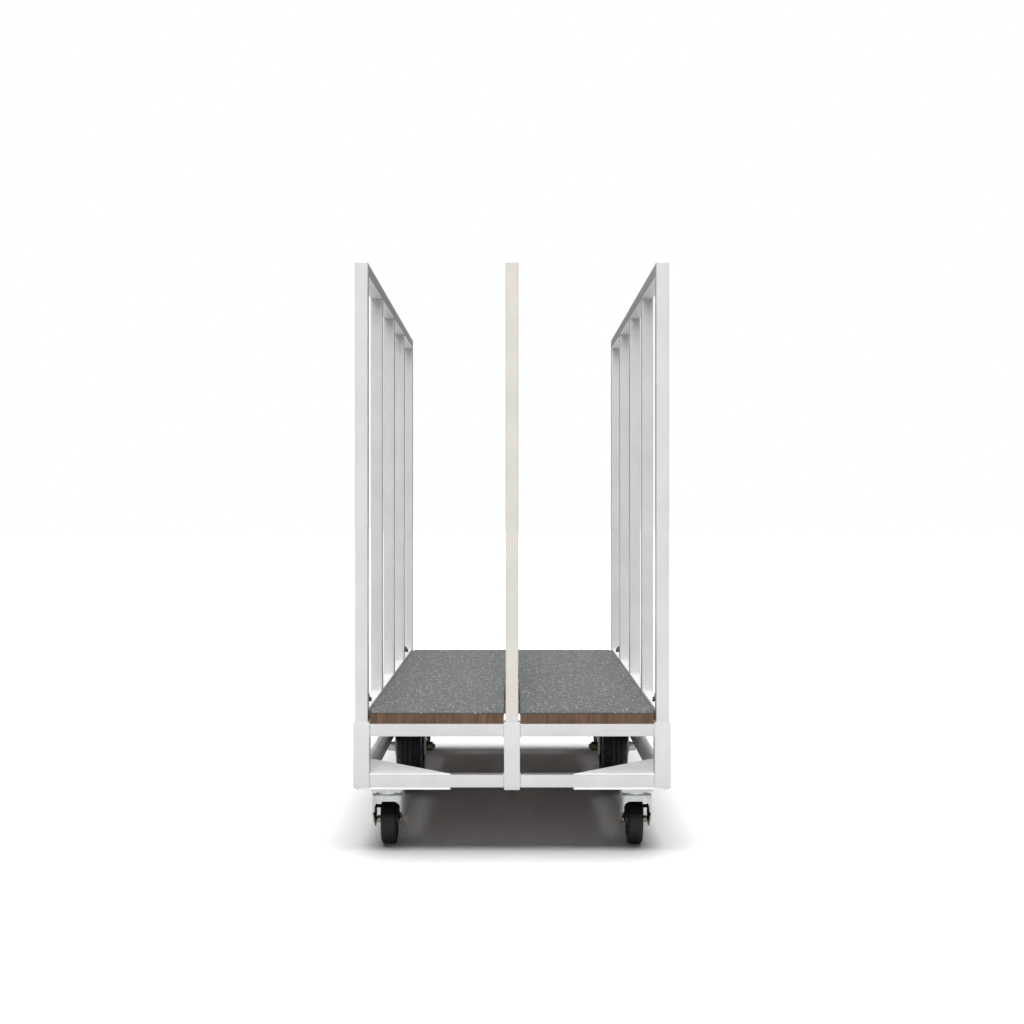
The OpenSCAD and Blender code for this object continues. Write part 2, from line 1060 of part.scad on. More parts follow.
module middle_axle_nuts() {
    color(dull_zinc)
        both_sides()
            translate([middle_x, 0, middle_r])
                along_x() {
                    translate([0, 0, middle_leg_out])
                        ring(axle_spacer_r, middle_axle_r + bolt_fit, axle_spacer);
                    translate([0, 0, middle_leg_out + axle_spacer])
                        hex_nut(middle_flats, middle_axle_d, axle_nut_h);
                    translate([0, 0, -middle_leg_out - inner_washer_t])
                        ring(axle_spacer_r, middle_axle_r + bolt_fit, inner_washer_t);
                    translate([0, 0, -middle_leg_out - inner_washer_t - inner_nut_h])
                        hex_nut(middle_flats, middle_axle_d, inner_nut_h);
                }
}

module middle_rim() {
    color(dark_rim)
        translate([middle_x, 0, middle_r])
            along_x()
                rotate_extrude() {
                    translate([middle_axle_r + running_fit, -middle_hub_half])
                        square([
                            middle_hub_r - middle_axle_r - running_fit,
                            2 * middle_hub_half
                        ]);
                    translate([middle_hub_r - over, -middle_web_t / 2])
                        square([middle_seat_r - middle_hub_r, middle_web_t]);
                    translate([middle_seat_r - middle_rim_t, -middle_rim_w / 2])
                        square([middle_rim_t, middle_rim_w]);
                    for (s = [-1, 1])
                        translate([
                            middle_seat_r - middle_rim_t,
                            s * (middle_rim_w + middle_flange_w) / 2 - middle_flange_w / 2
                        ])
                            square([middle_flange_h + middle_rim_t, middle_flange_w]);
                }
}

module middle_tyre() {
    color(black_rubber)
        translate([middle_x, 0, middle_r])
            along_x()
                rotate_extrude()
                    difference() {
                        union() {
                            tyre_section(
                                middle_flange_r + face_gap, middle_r,
                                middle_tyre_w, middle_shoulder
                            );
                            translate([middle_seat_r, -middle_rim_w / 2])
                                square([middle_flange_h + over, middle_rim_w]);
                        }
                        for (y = [-groove_pitch, 0, groove_pitch])
                            translate([middle_r - groove_depth, y - groove_w / 2])
                                square([groove_depth + over, groove_w]);
                    }
}

corner_sockets();
center_sockets();
socket_end_plates();
end_upper_rails();
end_lower_rails();
side_upper_rails();
side_lower_rails();
center_rails();
deck_joists();
wheel_joists();
corner_gussets();
caster_mounting_plates();
left_deck_board();
right_deck_board();
left_deck_carpet();
right_deck_carpet();
deck_screws();
frame_bolts();
frame_nuts();
side_frame_posts();
side_frame_uprights();
side_frame_top_rails();
side_frame_bottom_rails();
divider_posts();
divider_uprights();
divider_top_rail();
divider_bottom_rail();
caster_top_plates();
caster_plate_bolts();
caster_kingpins();
caster_races();
caster_ball_rings();
at_caster(-1, -1) fork(true);  // front_left_fork
at_caster(1, -1) fork(true);  // front_right_fork
at_caster(-1, 1) fork(false);  // rear_left_fork
at_caster(1, 1) fork(false);  // rear_right_fork
at_caster(-1, -1) caster_axle();  // front_left_axle
at_caster(1, -1) caster_axle();  // front_right_axle
at_caster(-1, 1) caster_axle();  // rear_left_axle
at_caster(1, 1) caster_axle();  // rear_right_axle
at_caster(-1, -1) caster_rim();  // front_left_rim
at_caster(1, -1) caster_rim();  // front_right_rim
at_caster(-1, 1) caster_rim();  // rear_left_rim
at_caster(1, 1) caster_rim();  // rear_right_rim
at_caster(-1, -1) caster_tyre();  // front_left_tyre
at_caster(1, -1) caster_tyre();  // front_right_tyre
at_caster(-1, 1) caster_tyre();  // rear_left_tyre
at_caster(1, 1) caster_tyre();  // rear_right_tyre
at_caster(-1, -1) brake_pedal();  // front_left_brake_pedal
at_caster(1, -1) brake_pedal();  // front_right_brake_pedal
at_caster(-1, -1) brake_pin();  // front_left_brake_pin
at_caster(1, -1) brake_pin();  // front_right_brake_pin
middle_forks();
middle_fork_bolts();
middle_axles();
middle_axle_nuts();
mirror([1, 0, 0]) middle_rim();  // left_middle_rim
middle_rim();  // right_middle_rim
mirror([1, 0, 0]) middle_tyre();  // left_middle_tyre
middle_tyre();  // right_middle_tyre
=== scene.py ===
"""Finish of a panel trolley: a welded base on six wheels, three bolted tube frames and two carpeted decks.

Every piece is a surface worked out with numpy round the fixed frame. Lengths are in metres, +Z is up and
the front of the trolley faces -Y. Each piece stands for the frame node that it covers.
"""
import math

import bmesh
import bpy
import numpy as np
from bpy.props import FloatProperty, IntProperty, PointerProperty, StringProperty
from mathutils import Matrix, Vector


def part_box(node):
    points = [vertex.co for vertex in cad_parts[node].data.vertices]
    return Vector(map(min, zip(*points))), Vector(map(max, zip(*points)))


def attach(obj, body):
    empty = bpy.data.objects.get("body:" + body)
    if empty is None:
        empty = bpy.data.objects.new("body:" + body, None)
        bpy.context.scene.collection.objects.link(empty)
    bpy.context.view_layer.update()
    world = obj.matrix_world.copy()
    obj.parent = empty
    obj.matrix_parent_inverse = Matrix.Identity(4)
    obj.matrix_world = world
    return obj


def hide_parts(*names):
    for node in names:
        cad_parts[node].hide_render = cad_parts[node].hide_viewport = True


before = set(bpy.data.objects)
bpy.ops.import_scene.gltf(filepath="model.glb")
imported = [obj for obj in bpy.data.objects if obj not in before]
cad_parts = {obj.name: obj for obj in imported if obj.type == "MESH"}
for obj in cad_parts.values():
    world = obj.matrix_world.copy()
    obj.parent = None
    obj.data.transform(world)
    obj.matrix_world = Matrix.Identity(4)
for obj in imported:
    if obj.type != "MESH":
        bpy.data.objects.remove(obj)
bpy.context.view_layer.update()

bl_info = {
    "name": "Panel Trolley Finish",
    "version": (1, 0, 0),
    "blender": (4, 5, 0),
    "location": "View3D > Sidebar > Trolley",
    "description": "Builds the coated steel, deck and wheels of a panel trolley round its frame",
    "category": "Add Mesh",
}

MM = 0.001
TURN = 2 * math.pi
MERGE = 0.002 * MM
LEAST_RADIUS = 0.02 * MM
X_AXIS, Y_AXIS, Z_AXIS = 0, 1, 2
# The two axes across each axis, in turn
FLAT_AXES = ((1, 2), (2, 0), (0, 1))
BOTH = (-1, 1)


def node_box(node):
    """Lowest and highest corner of a frame node, as arrays."""
    low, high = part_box(node)
    return np.array(low), np.array(high)


# Sizes read from the frame
_, TOP = node_box("side_frame_posts")
POST_LOW, POST_HIGH = node_box("divider_posts")
SOCKET_LOW, SOCKET_HIGH = node_box("center_sockets")
LOWER_LOW, _ = node_box("end_lower_rails")
UPPER_LOW, _ = node_box("end_upper_rails")
BOTTOM_LOW, BOTTOM_HIGH = node_box("divider_bottom_rail")
TOP_RAIL_LOW, TOP_RAIL_HIGH = node_box("divider_top_rail")
UPRIGHT_LOW, UPRIGHT_HIGH = node_box("divider_uprights")
TUBE = POST_HIGH[0] - POST_LOW[0]
HALF_TUBE = TUBE / 2
HALF_SOCKET = SOCKET_HIGH[0]
SOCKET_WALL = 3 * MM
POST_X = TOP[0] - HALF_TUBE
POST_Y = TOP[1] - HALF_TUBE
FRAME_XS = (-POST_X, 0.0, POST_X)
UPRIGHT_YS = np.linspace(UPRIGHT_LOW[1] + HALF_TUBE, UPRIGHT_HIGH[1] - HALF_TUBE, 3)
JOIST_Y = node_box("deck_joists")[1][1] - HALF_TUBE
WHEEL_JOIST_Y = node_box("wheel_joists")[1][1] - HALF_TUBE
FRAME_WASHER_R = 11 * MM
BOLT_Y = node_box("frame_nuts")[1][1] - FRAME_WASHER_R

# Places of the casters: corner name, side and end
CASTERS = {f"{end}_{side}": (x, y) for end, y in (("front", -1), ("rear", 1))
           for side, x in (("left", -1), ("right", 1))}
PLATE_LOW, PLATE_HIGH = node_box("caster_top_plates")
TOP_PLATE = (80 * MM, 105 * MM)
CASTER_X = PLATE_HIGH[0] - TOP_PLATE[0] / 2
CASTER_Y = PLATE_HIGH[1] - TOP_PLATE[1] / 2
CASTER_R = node_box("front_left_tyre")[1][2] / 2
CASTER_TRAIL = 40 * MM
FORK_TOP = node_box("front_left_fork")[1][2]
FORK_SHEET = 3 * MM
LEG_OUT = 35.5 * MM
LEG_BOSS = 18 * MM
PIVOT = (-20 * MM, FORK_TOP - 29.7 * MM)

# The middle wheels
MIDDLE_R = node_box("right_middle_tyre")[1][2] / 2
MIDDLE_X = sum(v[0] for v in node_box("right_middle_tyre")) / 2
MIDDLE_LEG_OUT = 47 * MM
MIDDLE_SHEET = 6 * MM
MIDDLE_BOSS = 28 * MM
MIDDLE_TOP = node_box("middle_forks")[1][2]
MIDDLE_BOLT_X = 24 * MM


# Settings


def length(name, description, millimetres, most=50):
    """A length property, its default given in millimetres."""
    return FloatProperty(name=name, description=description, default=millimetres * MM, min=0.0,
                         max=most * MM, unit="LENGTH", subtype="DISTANCE", precision=4)


def colour(name, description, default):
    """A colour property, an sRGB hex value."""
    return StringProperty(name=name, description=description, default=default)


class TrolleySizes(bpy.types.PropertyGroup):
    """Sizes of the finish, which the frame doesn't hold"""
    tube_corner: length("Tube corner", "Outside corner radius of the square tubes", 2.5)
    post_crown: length("Post crown", "Rounding of the closed top of a post", 2.2)
    socket_corner: length("Socket corner", "Outside corner radius of the sockets", 1.6)
    plate_edge: length("Plate edge", "Rounding of the edges of flat steel plates", 0.6)
    weld_leg: length("Weld leg", "Leg of the fillet welds between the tubes", 3.2)
    weld_pitch: length("Weld pitch", "Distance between two ripples of a weld", 3.4)
    board_edge: length("Board edge", "Rounding of the edges of the deck boards", 0.9)
    pile_spacing: length("Pile spacing", "Distance between two tufts of the carpet", 4.2)
    pile_height: length("Pile height", "Height of the tufts of the carpet", 0.55)
    tread_sipe: length("Tread sipe", "Depth of the cross cuts in the middle tyres", 3.0)
    sipe_count: IntProperty(name="Sipe count", description="Cross cuts round a middle tyre",
                            default=36, min=8, max=60)
    grip_height: length("Grip height", "Height of the grip ridges on a brake pedal", 0.9)
    thread_pitch: length("Thread pitch", "Pitch of the bolt threads", 1.5)


class TrolleyColours(bpy.types.PropertyGroup):
    """Colours of the finish, as sRGB hex values"""
    powder: colour("Powder coat", "White powder coat of the base and the side frames", "#E3E3E3")
    warm_powder: colour("Warm powder coat", "Off-white powder coat of the divider", "#E6E1DC")
    zinc: colour("Bright zinc", "Zinc plate of the casters", "#D8DADA")
    dull_zinc: colour("Dull zinc", "Yellowish zinc plate of the fasteners", "#8C8272")
    pale_zinc: colour("Pale zinc", "Cream zinc plate of the caster axle bolts", "#E8DCC8")
    # Painted shade: a near-black colour for the inner faces of the caster forks, standing for the shade
    # that falls there.
    fork_inside_shade: colour("Grime", "Painted shade on the inner faces of the caster forks", "#1E1E1F")
    ply: colour("Plywood", "Stained edge of the deck boards", "#806550")
    ply_dark: colour("Plywood grain", "Dark fibres of the deck boards", "#503B2D")
    carpet: colour("Carpet", "Middle grey of the deck carpet", "#4B4C4C")
    # This colour gives the dark flecks, and also the painted shade in the pits between the tufts.
    carpet_dark_fibre_and_shade: colour("Carpet dark fibre", "Darkest fibres of the carpet", "#363737")
    carpet_light: colour("Carpet light fibre", "Lightest fibres of the carpet", "#B0B1B1")
    rubber: colour("Rubber", "Black rubber of the tyres", "#121213")
    nylon: colour("Nylon", "Moulded centres of the caster wheels", "#2C2C2E")
    # The pedals' black is taken darker than their plastic: painted shade for the shade inside the caster
    # fork.
    pedal: colour("Pedal plastic", "Black plastic of the brake pedals", "#080809")
    rim: colour("Rim paint", "Dark paint of the middle rims", "#2B2B2D")
    floor: colour("Floor", "Pale studio floor", "#FFFFFF")


# Meshes


class Skin:
    """Gathers grids of points into one mesh. An origin and a half turn round Z place what is added."""

    def __init__(self):
        self.points = []
        self.faces = []
        self.count = 0
        self.origin = np.zeros(3)
        self.turn = 1

    def place(self, origin, turn=1):
        """Sets where the next grids go: their own points are turned round Z, then moved to the origin."""
        self.origin = np.array(origin, float)
        self.turn = turn

    def grid(self, rings, around=False, closed=False, caps=False):
        """Quads over a grid of points. around joins each row's ends, closed joins the last row to the
        first, and caps closes the first and last row with one face each."""
        rings = np.array(rings, float) * (self.turn, self.turn, 1) + self.origin
        rows, columns = rings.shape[:2]
        index = np.arange(rows * columns).reshape(rows, columns) + self.count
        ends = (index[0, ::-1], index[-1])
        if around:
            index = np.concatenate([index, index[:, :1]], axis=1)
        if closed:
            index = np.concatenate([index, index[:1]], axis=0)
        quads = np.stack([index[:-1, :-1], index[:-1, 1:], index[1:, 1:], index[1:, :-1]], axis=-1)
        self.faces.extend(quads.reshape(-1, 4).tolist())
        if caps:
            self.faces.extend(end.tolist() for end in ends)
        self.points.append(rings.reshape(-1, 3))
        self.count += rows * columns

    def piece(self, name, body, slot, material, nodes=(), sharp=32, shell=False):
        """Makes the object, lets it ride on its body and stand for its nodes. A shell keeps its own
        winding, because it gets a wall later; closed pieces have their normals worked out."""
        mesh = bpy.data.meshes.new(name)
        mesh.from_pydata(np.concatenate(self.points), [], self.faces)
        made = bmesh.new()
        made.from_mesh(mesh)
        bmesh.ops.remove_doubles(made, verts=made.verts, dist=MERGE)
        bmesh.ops.dissolve_degenerate(made, edges=made.edges, dist=MERGE / 2)
        if not shell:
            bmesh.ops.recalc_face_normals(made, faces=made.faces)
        made.to_mesh(mesh)
        made.free()
        mesh.shade_smooth()
        mesh.set_sharp_from_angle(angle=math.radians(sharp))
        mesh.materials.append(material)
        obj = bpy.data.objects.new(name, mesh)
        bpy.context.scene.collection.objects.link(obj)
        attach(obj, body)
        if nodes:
            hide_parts(*nodes)
        return obj

    def coated(self, node, key="powder"):
        """Makes the powder-coated piece of the base that stands for one node."""
        return self.piece("coated_" + node, "base", "powder_steel", finish(key), [node])

    def beads(self, title, key="powder"):
        """Makes the piece of weld beads, which have the coat of their tubes or plates."""
        return self.piece(title + "_welds", "base", "powder_steel", finish(key), sharp=60)


def quarter(steps):
    """Sine and cosine over a quarter turn, both as arrays."""
    angles = np.linspace(0, TURN / 4, steps + 1)
    return np.sin(angles), np.cos(angles)


def smooth(values):
    """Soft step: 3t^2 - 2t^3 of the values held between 0 and 1."""
    t = np.clip(values, 0, 1)
    return t * t * (3 - 2 * t)


def outline(corners, radii, inset=0.0, steps=5):
    """Closed outline round a polygon given anticlockwise. Each edge moves inwards by the inset, and each
    corner becomes an arc whose radius shrinks on a convex corner and grows on a hollow one."""
    corners = np.array(corners, float)
    radii = np.broadcast_to(np.array(radii, float), len(corners))
    ahead = np.roll(corners, -1, axis=0) - corners
    ahead /= np.linalg.norm(ahead, axis=1)[:, None]
    behind = np.roll(ahead, 1, axis=0)
    normal, normal_behind = (np.stack([-v[:, 1], v[:, 0]], axis=1) for v in (ahead, behind))
    shared = 1 + (normal * normal_behind).sum(1)
    corners = corners + inset * (normal + normal_behind) / shared[:, None]
    bend = np.arctan2(behind[:, 0] * ahead[:, 1] - behind[:, 1] * ahead[:, 0], (behind * ahead).sum(1))
    side = np.sign(bend)
    radii = np.maximum(radii - side * inset, LEAST_RADIUS)
    start = corners - behind * (radii * np.tan(np.abs(bend) / 2))[:, None]
    centre = start + normal_behind * (side * radii)[:, None]
    turned = bend[:, None] * np.linspace(0, 1, steps + 1)
    arm = start - centre
    x = arm[:, :1] * np.cos(turned) - arm[:, 1:] * np.sin(turned) + centre[:, :1]
    y = arm[:, :1] * np.sin(turned) + arm[:, 1:] * np.cos(turned) + centre[:, 1:]
    return np.stack([x, y], axis=-1).reshape(-1, 2)


def rectangle(low, high):
    """Corners of a rectangle, anticlockwise."""
    return [(low[0], low[1]), (high[0], low[1]), (high[0], high[1]), (low[0], high[1])]


def lift(flat, height, axis):
    """Flat points set at a height along an axis. The two flat directions are the other axes in turn."""
    first, second = FLAT_AXES[axis]
    points = np.zeros((len(flat), 3))
    points[:, first] = flat[:, 0]
    points[:, second] = flat[:, 1]
    points[:, axis] = height
    return points


def slab(skin, corners, radii, low, high, edge, axis=Z_AXIS, steps=5, edge_steps=3):
    """Closed plate: the outline is carried along an axis, and is drawn in at both ends over a quarter
    arc, so that both rims are round."""
    sines, cosines = quarter(edge_steps)
    insets = np.concatenate([edge * (1 - sines), edge * (1 - sines[::-1])])
    heights = np.concatenate([low + edge * (1 - cosines), high - edge * (1 - cosines[::-1])])
    rings = [lift(outline(corners, radii, inset, steps), height, axis)
             for inset, height in zip(insets, heights)]
    skin.grid(rings, around=True, caps=True)


SAWN_EDGE = 0.3 * MM


def bar(skin, low, high, axis, corner, edge=SAWN_EDGE, steps=5):
    """Closed bar that fills a box: a rounded rectangle carried along one axis."""
    first, second = FLAT_AXES[axis]
    corners = rectangle((low[first], low[second]), (high[first], high[second]))
    slab(skin, corners, corner, low[axis], high[axis], edge, axis, steps)


def spin(skin, centre, axis, heights, radii, steps=48, closed=False, start=0.0, angles=None):
    """Surface of turning: a point lies at a height along the axis and at a radius from it, and both may
    change with the place on the profile and with the angle. The angles are even unless they're given."""
    if angles is None:
        angles = start + np.arange(steps) * TURN / steps
    steps = len(angles)
    heights, radii = (np.array(v, float) for v in (heights, radii))
    heights, radii = (v[:, None] if v.ndim == 1 else v for v in (heights, radii))
    heights, radii = np.broadcast_arrays(heights, radii)
    heights, radii = (np.broadcast_to(v, (len(v), steps)) for v in (heights, radii))
    first, second = FLAT_AXES[axis]
    rings = np.zeros(heights.shape + (3,))
    rings[..., first] = centre[first] + radii * np.cos(angles)
    rings[..., second] = centre[second] + radii * np.sin(angles)
    rings[..., axis] = centre[axis] + heights
    skin.grid(rings, around=True, closed=closed, caps=not closed)


def mirrored(heights, radii, shared=False):
    """Profile of both halves, given one that ends in the middle, with its last point shared or not."""
    last = -2 if shared else -1
    return (np.concatenate([heights, -heights[last::-1]]), np.concatenate([radii, radii[last::-1]]))


def folded(steps, count):
    """Even angles round a turn, each measured from the nearest of count even middle lines."""
    angles = np.arange(steps) * TURN / steps
    return (angles + TURN / 2 / count) % (TURN / count) - TURN / 2 / count


def rounded(profile, radii, steps=4):
    """Closed profile of (height, radius) pairs with its corners rounded, as two arrays."""
    line = outline(profile, radii, steps=steps)
    return line[:, 0], line[:, 1]


# Welds and fasteners


WELD_MARGIN = 1.5 * MM
SEAM_WIDTH = 5 * MM
SEAM_HEIGHT = 0.22 * MM
# How far a shaft reaches into its thread or head
LAP = 0.5 * MM


def fillet(leg):
    """Section of a fillet weld: the corner, then a swollen arc from one plate to the other. The arc's
    distance from the corner is the leg, less a sixth where it bulges least."""
    angles = np.linspace(0, TURN / 4, 4)
    reach = leg * (1 - np.sin(2 * angles) / 6)
    arc = np.stack([reach * np.cos(angles), reach * np.sin(angles)], axis=1)
    return np.concatenate([[(-0.2 * leg, -0.2 * leg)], arc])


def flush(width, height):
    """Section of a ground weld across a flat joint: a low half ellipse."""
    angles = np.linspace(0, TURN / 2, 5)
    arc = np.stack([width / 2 * np.cos(angles), height * np.sin(angles)], axis=1)
    return np.concatenate([[(0, -height)], arc])


def weld(skin, section, start, end, out, up, pitch):
    """Weld bead: its section is carried from start to end and swells in a ripple at every pitch, as the
    arc's pool sets. out and up are the section's directions, and both ends taper."""
    start, end, out, up = (np.array(v, float) for v in (start, end, out, up))
    stations = 2 * max(2, round(np.linalg.norm(end - start) / pitch)) + 1
    t = np.linspace(0, 1, stations)
    swell = (1 - 0.1 * np.cos(np.arange(stations) * TURN / 2)) * np.where((t == 0) | (t == 1), 0.6, 1)
    flat = section[:, :1] * out + section[:, 1:] * up
    rings = (start + (end - start) * t[:, None])[:, None, :] + swell[:, None, None] * flat
    skin.grid(rings, around=True, caps=True)


def tube_end_welds(skin, centre, axis, facing, letters, sizes):
    """Welds round the end of a tube that runs along an axis and meets a face at centre. facing says on
    which side of the face the tube lies. letters has one for each side of the tube, in the order
    +first, -first, +second, -second: w for a fillet, s for a ground seam, and - for none."""
    first, second = FLAT_AXES[axis]
    bead, seam = fillet(sizes.weld_leg), flush(SEAM_WIDTH, SEAM_HEIGHT)
    away = np.zeros(3)
    away[axis] = facing
    sides = ((first, second, 1), (first, second, -1), (second, first, 1), (second, first, -1))
    for letter, (across, along, sign) in zip(letters, sides):
        if letter == "-":
            continue
        out, run = np.zeros(3), np.zeros(3)
        out[across] = sign
        run[along] = HALF_TUBE - WELD_MARGIN
        middle = np.array(centre, float) + out * HALF_TUBE
        shape, *ways = (bead, out, away) if letter == "w" else (seam, away, out)
        weld(skin, shape, middle - run, middle + run, *ways, sizes.weld_pitch)


def hexagon(skin, centre, axis, flats, low, high, start=0.0):
    """Hexagon head or nut with its corners turned off: over the inscribed circle a face drops by the
    overhang times the tangent of 30 degrees, which gives the scalloped chamfer."""
    steps = 48
    corner = flats / 2 / np.cos(folded(steps, 6))
    inner = np.full(steps, 0.96 * flats / 2)
    drop = (corner - inner) * math.tan(math.radians(30))
    heights = [np.full(steps, low), low + drop, high - drop, np.full(steps, high)]
    spin(skin, centre, axis, heights, [inner, corner, corner, inner], steps, start=start)


def thread(skin, centre, axis, radius, low, high, pitch):
    """Threaded end: the radius falls by half a pitch in a triangle wave along a helix, and the last turn
    is cut to a cone."""
    steps = 20
    heights = np.linspace(low, high, max(6, round(4 * abs(high - low) / pitch)) + 1)
    angles = np.arange(steps) / steps
    wave = np.abs((heights[:, None] / pitch - angles) % 1 - 0.5) * 2
    end = smooth(np.abs(high - heights) / pitch)[:, None]
    spin(skin, centre, axis, heights, radius - pitch * (0.45 * wave + 0.5 * (1 - end)), steps)


def washer(skin, centre, axis, outer, inner, low, high):
    """Flat ring with soft rims."""
    profile = rectangle((low, inner), (high, outer))
    heights, radii = rounded(profile, 0.35 * MM, 2)
    spin(skin, centre, axis, heights, radii, 40, closed=True)


def shaft(skin, centre, axis, radius, low, high, edge=0.8 * MM):
    """Plain round pin with turned-off ends."""
    spin(skin, centre, axis, [low, low + edge, high - edge, high],
         [radius - edge, radius, radius, radius - edge], 40)


# Materials


def linear(value, factor=1.0):
    """Linear RGBA of an sRGB hex value, first scaled by a factor."""
    parts = [min(1.0, int(value[k:k + 2], 16) / 255 * factor) for k in (1, 3, 5)]
    return [p / 12.92 if p <= 0.04045 else ((p + 0.055) / 1.055) ** 2.4 for p in parts] + [1.0]


def add(tree, kind, inputs=None, **settings):
    """Adds a node with its settings, fills its inputs with values or links, and gives its outputs."""
    node = tree.nodes.new("ShaderNode" + kind)
    for name, value in settings.items():
        setattr(node, name, value)
    for name, value in (inputs or {}).items():
        if isinstance(value, bpy.types.NodeSocket):
            tree.links.new(value, node.inputs[name])
        else:
            node.inputs[name].default_value = value
    return node.outputs


def patches(tree, size_mm, detail=2.0, rough=0.5, stretch=(1, 1, 1), low=0.3, high=0.7):
    """Pattern of patches about size_mm wide on Object coordinates, drawn out along an axis by a stretch
    over 1. Noise at low gives 0 and at high gives 1."""
    place = add(tree, "TexCoord")["Object"]
    place = add(tree, "Mapping", {"Vector": place, "Scale": [1 / v for v in stretch]})[0]
    field = add(tree, "TexNoise", {"Vector": place, "Scale": 1000 / size_mm, "Detail": detail,
                                   "Roughness": rough})["Fac"]
    return add(tree, "MapRange", {"Value": field, "From Min": low, "From Max": high})[0]


def powder_coat(tree, value):
    """Polyester powder baked on steel: the melt levels into orange peel of about 2 mm, with a satin
    gloss. Faint clouds of film thickness run over it."""
    tint = add(tree, "Mix", {0: patches(tree, 90, 3), 6: linear(value, 0.975), 7: linear(value, 1.012)},
               data_type="RGBA")[2]
    gloss = add(tree, "MapRange", {"Value": patches(tree, 6), "To Min": 0.36, "To Max": 0.48})[0]
    normal = add(tree, "Bump", {"Height": patches(tree, 2.2, 1), "Distance": 0.035 * MM})[0]
    return {"Base Color": tint, "Roughness": gloss, "IOR": 1.5, "Normal": normal}


def zinc_plate(tree, value, dark=0.88, cloud_mm=14):
    """Zinc plated on pressed steel: soft cloudy metal with drawing marks of about 1 mm and small
    handling scuffs."""
    clouds = patches(tree, cloud_mm, 4, 0.6)
    marks = patches(tree, 1.2, stretch=(1, 1, 14))
    both = add(tree, "Math", {0: clouds, 1: marks}, operation="ADD")[0]
    tint = add(tree, "Mix", {0: clouds, 6: linear(value, dark), 7: linear(value)}, data_type="RGBA")[2]
    gloss = add(tree, "MapRange", {"Value": both, "From Max": 2.0, "To Min": 0.42, "To Max": 0.6})[0]
    normal = add(tree, "Bump", {"Height": marks, "Distance": 0.02 * MM})[0]
    return {"Base Color": tint, "Roughness": gloss, "Metallic": 1.0, "Normal": normal}


def stained_ply(tree, value, dark):
    """Stained birch plywood: fibres run along Y, so that the ends show them as short upright streaks of
    2 to 6 mm, over plies of 1.9 mm that show faintly along the sides."""
    fibre = patches(tree, 2.6, 3, stretch=(1, 60, 22))
    broad = patches(tree, 16, stretch=(1, 30, 10))
    height = add(tree, "SeparateXYZ", {0: add(tree, "TexCoord")["Object"]})["Z"]
    layers = add(tree, "Math", {0: height, 1: 1000 / 1.9}, operation="MULTIPLY")[0]
    plies = add(tree, "Math", {0: layers, 1: 1.0}, operation="PINGPONG")[0]
    broad = add(tree, "Math", {0: broad, 1: 0.38}, operation="MULTIPLY")[0]
    streaks = add(tree, "Math", {0: fibre, 1: 0.62, 2: broad}, operation="MULTIPLY_ADD")[0]
    tone = add(tree, "Math", {0: plies, 1: -0.14, 2: streaks}, operation="MULTIPLY_ADD")[0]
    relief = add(tree, "Math", {0: plies, 1: 0.3, 2: fibre}, operation="MULTIPLY_ADD")[0]
    tint = add(tree, "Mix", {0: tone, 6: linear(dark), 7: linear(value)}, data_type="RGBA")[2]
    gloss = add(tree, "MapRange", {"Value": streaks, "To Min": 0.66, "To Max": 0.5})[0]
    normal = add(tree, "Bump", {"Height": relief, "Distance": 0.12 * MM})[0]
    return {"Base Color": tint, "Roughness": gloss, "IOR": 1.46, "Normal": normal}


def needle_carpet(tree, value, dark, light):
    """Needle-punched carpet of mixed grey fibres: tufts and pits of 3 mm in a mottled ground, with
    flecks of dark and of pale fibre, at most one in a cell of 6.5 mm. Real fibres are finer than a
    pixel, so the mottle and the flecks are drawn as coarse as they need to show. The cells' lattice
    is turned out of the deck's plane, so that the flecks stand in no rows."""
    mottle = patches(tree, 14, 4, 0.7, stretch=(1, 2.5, 1))
    tufts = patches(tree, 3, 3, 0.7, stretch=(1, 1.5, 1))
    ground = add(tree, "Mix", {0: mottle, 6: linear(value, 0.66), 7: linear(value, 1.32)},
                 data_type="RGBA")[2]
    # Painted shade: where the tufts sink to pits, the ground is mixed up to halfway towards the dark fibre
    # colour.
    shade = add(tree, "MapRange", {"Value": tufts, "To Min": 0.5, "To Max": 0.0})[0]
    ground = add(tree, "Mix", {0: shade, 6: ground, 7: linear(dark)}, data_type="RGBA")[2]
    place = add(tree, "TexCoord")["Object"]
    place = add(tree, "Mapping", {"Vector": place, "Scale": (1.0, 0.4, 1.0),
                                  "Rotation": (0.6, 0.4, 0.5)})[0]
    cells = add(tree, "TexVoronoi", {"Vector": place, "Scale": 1000 / 6.5})
    spot = add(tree, "MapRange", {"Value": cells["Distance"], "From Min": 0.42, "From Max": 0.26})[0]
    chance = add(tree, "SeparateColor", {0: cells["Color"]})
    for channel, tone, least in (("Red", dark, 0.5), ("Green", light, 0.65)):
        chosen = add(tree, "MapRange", {"Value": chance[channel], "From Min": least,
                                        "From Max": least + 0.15, "To Max": 0.85})[0]
        share = add(tree, "Math", {0: spot, 1: chosen}, operation="MULTIPLY")[0]
        ground = add(tree, "Mix", {0: share, 6: ground, 7: linear(tone)}, data_type="RGBA")[2]
    fuzz = add(tree, "Math", {0: patches(tree, 0.9), 1: 0.4, 2: tufts}, operation="MULTIPLY_ADD")[0]
    normal = add(tree, "Bump", {"Height": fuzz, "Distance": 0.9 * MM})[0]
    return {"Base Color": ground, "Roughness": 0.95, "Specular IOR Level": 0.2, "Sheen Weight": 0.25,
            "Sheen Roughness": 0.6, "Normal": normal}


def dusty(tree, value, dust, lift, rough, ior):
    """Dark surface under a breath of grey dust, which lifts its colour and dulls its gloss."""
    tint = add(tree, "Mix", {0: dust, 6: linear(value), 7: linear(value, lift)}, data_type="RGBA")[2]
    gloss = add(tree, "MapRange", {"Value": dust, "To Min": rough[0], "To Max": rough[1]})[0]
    return {"Base Color": tint, "Roughness": gloss, "IOR": ior}


